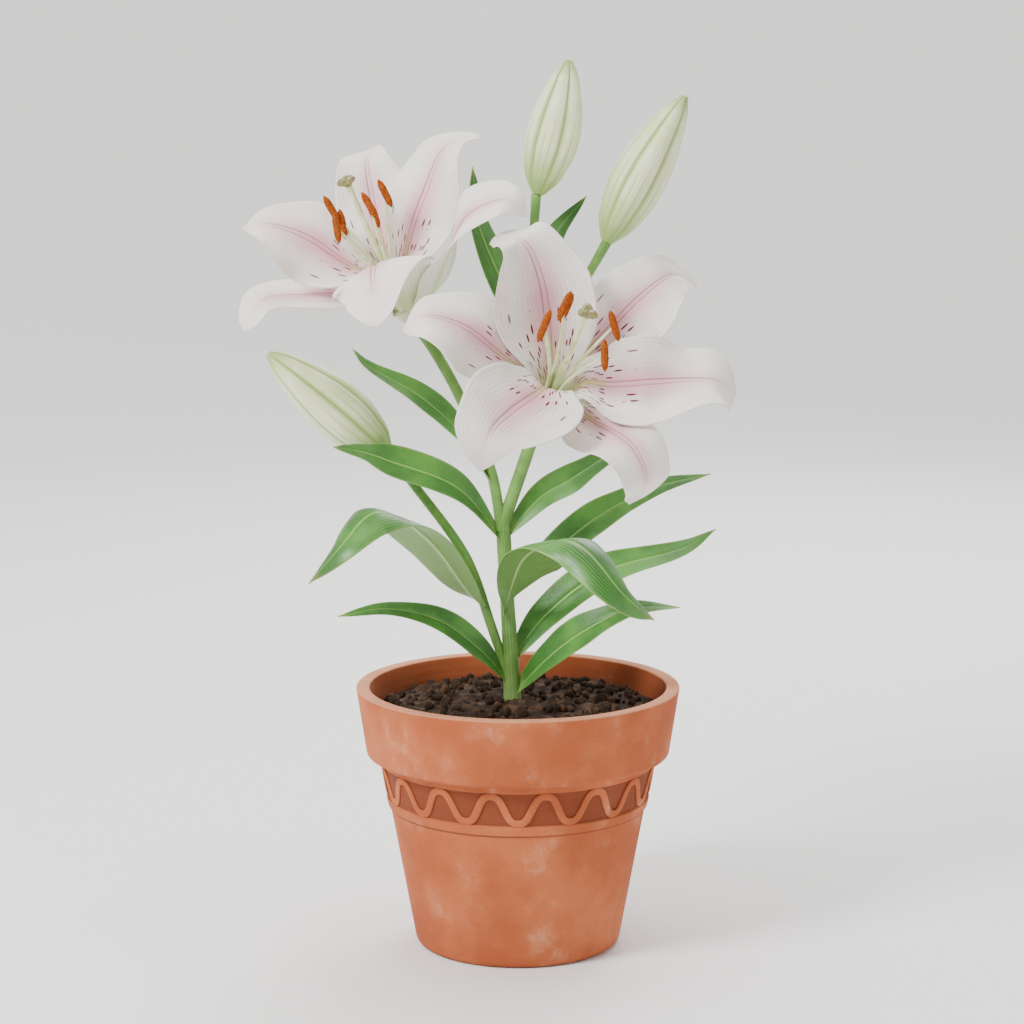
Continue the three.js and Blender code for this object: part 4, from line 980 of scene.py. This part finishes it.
# Buds: the greatest radius, how far the section is turned, and points from the stalk to the tip.
# Their outline is the share of that radius, at even steps along them.
BUDS = [
    dict(name="bud_top", radius=14.5, spin=105, through=((11, 18, 417), (21.5, 16, 454), (28, 14, 489.5))),
    dict(name="bud_right", radius=15, spin=60, through=((48.5, 18, 391), (69, 16, 430), (91, 14, 470))),
    dict(name="bud_left", radius=15.5, spin=45,
         through=((-71.5, 0, 275), (-103, -3, 303), (-136, -6, 331.5))),
]
BUD_OUTLINE = (0.24, 0.65, 0.85, 0.98, 1, 0.95, 0.83, 0.66, 0.46, 0.11)


def bud(name, radius, spin, through):
    """A closed bud: a rounded triangle in section. Its six tepals show as six strips that meet
    in furrows, three broad ones that bulge and three that lie deeper. Fine grooves run beside the
    middle of each strip in its lower part."""
    s = np.linspace(0, 1, 100)
    point, across, normal = frames(lambda t: along(through, t), (0, 1, 0), s)
    s = s[:, None]
    angle = np.linspace(0, 2 * math.pi, 180, endpoint=False)[None, :]
    around = angle - math.radians(spin)
    off = np.abs((around + math.pi / 6) % (math.pi / 3) - math.pi / 6)
    belly = np.sin(math.pi * np.clip(s * 0.94 + 0.03, 0, 1)) ** 0.7
    furrow = bump(off - math.pi / 6, 0.2)
    groove = bump(off - 0.16, 0.09) * (1 - smooth(s, 0.35, 0.62))
    size = radius * along(BUD_OUTLINE, s[:, 0])[:, None] * (1 + 0.07 * np.cos(3 * around))
    r = size + belly * (0.5 * np.cos(6 * around) - 1.1 * furrow - 0.3 * groove)
    grid = (point[:, None] + across[:, None] * (r * np.cos(angle))[..., None]
            + normal[:, None] * (r * np.sin(angle))[..., None])
    tint = np.clip(furrow + 0.5 * groove, 0, 1)
    piece(f"{name}_fine", [part(grid, inner=tint)], [BUD], "bud", name)


# Stems, the main one first: points along each one's middle, and its radii at even steps. One
# that carries an open flower turns pale past the share of its length called pale.
STEMS = [
    dict(through=((-3, 0, 73), (-3, 0, 105), (-3, 0, 137), (-4.5, 0, 170), (-6.5, 0, 203), (-8, 0, 232),
                  (-8.5, 0.5, 248)),
         radii=(4.4, 4.8, 5, 4.3, 3.9, 3.9, 1)),
    dict(through=((-9, 0, 232), (-15, 2, 266), (-32, 9, 306), (-49, 18, 335), (-61.7, 24.8, 349.3),
                  (-62.6, 24.4, 351.5), (-63.6, 24, 353.8)),
         radii=(3, 3, 3, 3.1, 3.6, RECEPTACLE_FLARE, RECEPTACLE_RADIUS), pale=0.62),
    dict(through=((-9, 0, 232), (-6, 1, 243), (7, 5, 281), (15, 14, 305), (17, 20, 331), (13, 22, 358),
                  (9, 20, 392), (10, 18, 417)),
         radii=(3.8, 3.6, 3.6, 3.5, 3.2, 2.8, 2.5, 2.8)),
    dict(through=((7, 5, 280), (11, 4, 291), (13, -9, 296), (13.7, -18.9, 301.2), (14.4, -20.5, 303),
                  (15.1, -22, 304.9)),
         radii=(2.8, 3, 3, 3.6, RECEPTACLE_FLARE, RECEPTACLE_RADIUS), side=(1, 0, 0), pale=0.55),
    dict(through=((16, 21, 332), (24, 22, 348), (39, 20, 373), (49, 18, 391)), radii=(2.6, 2.5, 2.5, 2.9)),
    dict(through=((-6, 0, 152), (-15, -1, 180), (-29, -2, 219), (-56, -1, 257), (-71, 0, 275)),
         radii=(2.4, 2.7, 2.7, 2.6, 2.9)),
]

# Leaves: points from the stem out to the tip, and a roll in degrees along the blade. Most share
# one outline, as shares of half their width. The two folded ones have half widths of their own.
LEAF_OUTLINE = np.array((0.2, 0.58, 0.87, 1, 0.97, 0.73, 0.53, 0.32, 0.03))
LEAVES = [
    dict(name="leaf_left_high", width=16.5, roll=(-15, -50, -20),
         through=((-13, 2, 256), (-32, -3, 288), (-54, -8, 309), (-80, -13, 325), (-90, -13, 335))),
    dict(name="leaf_left_middle", width=20.5, roll=(-45, -55, -35),
         through=((-9, 0, 228), (-33, -14, 259), (-70, -22, 275), (-84, -24, 280), (-100, -26, 283))),
    dict(name="leaf_left_folded", roll=(-15, 20, 20, -15, -15, 0), cup="left_fold",
         through=(
             (-19, -1, 190), (-29, -3, 202), (-46, -12, 227), (-65, -26, 245), (-80, -41, 248),
             (-95, -56, 233), (-112, -53, 213)),
         left=(5.5, 13, 19, 22, 20.5, 15.5, 6.5, 0.6),
         right=(4.5, 9.5, 13, 14.5, 15, 15.5, 9, 0.6)),
    dict(name="leaf_left_low", width=16.5, roll=(-50, -50, -45),
         through=((-5, 0, 147), (-20, -9, 167), (-43, -18, 186), (-71, -26, 194), (-98, -32, 191))),
    dict(name="leaf_right_high", width=18, roll=(50, 50, 35),
         through=((-7, 0, 230), (12, 7, 250), (29, 16, 259), (50, 24, 271), (61, 28, 273))),
    dict(name="leaf_right_middle", width=20.5, roll=(25, 50, 45),
         through=((-5, 4, 194), (15, 22, 212), (44, 31, 235), (77, 38, 251), (109, 44, 258))),
    dict(name="leaf_right_folded", roll=(25, -25, -25, 20, 15, -10), cup="right_fold",
         through=(
             (-7.5, -3, 187), (-4, -6, 203), (4, -17, 222), (22, -37, 234), (37, -52, 230),
             (56, -63, 209), (73, -52, 193)),
         left=(4.5, 9.5, 14, 16, 15, 15, 10, 1),
         right=(4, 10, 19, 20.5, 18, 14, 7, 0.6)),
    dict(name="leaf_right_long", width=22, roll=(50, 45, 20),
         through=((-4, 0, 159.5), (16, 10, 184), (48, 16, 207), (91, 20, 219), (111, 22, 230))),
    dict(name="leaf_right_low", width=21.5, roll=(45, 55, 25),
         through=((-2, 0, 141), (15, -14, 163), (35, -25, 181), (61, -32, 195), (88, -37, 197))),
    dict(name="leaf_upper_left", width=20, roll=(-60, -65, -65),
         through=((16, 19, 326), (-2, 17, 356), (-21, 15, 399), (-25, 12, 432))),
    dict(name="leaf_upper_right", width=17.5, roll=(60, 60, 60),
         through=((13, 22, 350), (16, 28, 373), (20, 32, 393), (38, 34, 415))),
]


def leaf(name, through, roll, width=0, cup="leaf", left=None, right=None):
    """One leaf along its points, from inside the stem to its tip."""
    heading = np.array(through[-1], float) - np.array(through[0], float)
    plain = LEAF_OUTLINE * width / 2
    made = blade(lambda s: along(through, s), unit(np.array([-heading[1], heading[0], 0])),
                 left or plain, right or plain, CUPS[cup], roll, LEAF_THICKNESS,
                 steps=96, columns=32, wave=0.8, waves=1.5, ruffle=0.15, groove=0.8,
                 groove_width=3.5)
    piece(f"{name}_fine", [made], [LEAF], "leaf", name)


def stems():
    """The forked stem: a rod for each branch, sunk well into the one that it grows from."""
    piece("forked_stem", [rod(steps=90, sides=28, **stem) for stem in STEMS], [STEM], "stem", "stem")


pot()
bulb()
soil()
stems()
for each in LEAVES:
    leaf(**each)
for each in BUDS:
    bud(**each)
for flower in FLOWERS:
    for each in flower["tepals"]:
        tepal(flower, **each)
    stamens(flower)
    pistil(flower)


# The studio

def sweep():
    """A plain sweep of matt paper turned about the pot's axis: a flat floor a hair under the
    pot's foot that curves up, as a quarter circle, into a wall all round."""
    angle = np.linspace(0, 2 * math.pi, 96, endpoint=False)[None, :]
    bend = np.linspace(0, math.pi / 2, 17)
    radius = np.concatenate([[0.01], SWEEP_RADIUS + SWEEP_BEND * np.sin(bend)])[:, None]
    height = np.concatenate([[0], SWEEP_BEND * (1 - np.cos(bend))])[:, None] - 0.0002
    points = np.stack([radius * np.cos(angle), radius * np.sin(angle), height + 0 * angle], -1)
    rings, count, _ = points.shape
    i, k = np.meshgrid(np.arange(rings - 1), np.arange(count), indexing="ij")
    right = (k + 1) % count
    quads = np.stack([i * count + k, (i + 1) * count + k, (i + 1) * count + right, i * count + right], -1)
    mesh = bpy.data.meshes.new("sweep")
    mesh.from_pydata(points.reshape(-1, 3).tolist(), [],
                     quads.reshape(-1, 4).tolist() + [np.arange(count).tolist()])
    mesh.shade_smooth()
    paper, _, surface = material("matt paper", Roughness=0.9, Specular_IOR_Level=0.1)
    surface.inputs["Base Color"].default_value = linear("F3F2F0")
    mesh.materials.append(paper)
    placed("sweep", mesh)


def soft_light(name, place, target, size, power):
    """A square soft box at a place, facing a target."""
    data = bpy.data.lights.new(name, "AREA")
    data.shape, data.size, data.energy = "SQUARE", size, power
    lamp = placed(name, data)
    lamp.location = place
    aim = np.subtract(target, place)
    lamp.rotation_euler = (math.atan2(math.hypot(aim[0], aim[1]), -aim[2]), 0,
                           math.atan2(aim[0], -aim[1]) + math.pi)


def studio():
    """The sweep, the soft boxes, white surroundings and the camera."""
    sweep()
    for box in SOFT_BOXES:
        soft_light(*box)
    world = bpy.data.worlds.new("studio")
    bpy.context.scene.world = world
    world.use_nodes = True
    background = world.node_tree.nodes["Background"]
    background.inputs[0].default_value = linear("FFFFFF")
    background.inputs[1].default_value = 0.36
    data = bpy.data.cameras.new("camera")
    data.lens, data.sensor_width, data.clip_end = 100, 36, 20
    camera = placed("camera", data)
    camera.location = CAMERA_PLACE
    camera.rotation_euler = (math.radians(90 - CAMERA_PITCH), 0, 0)
    bpy.context.scene.camera = camera


studio()
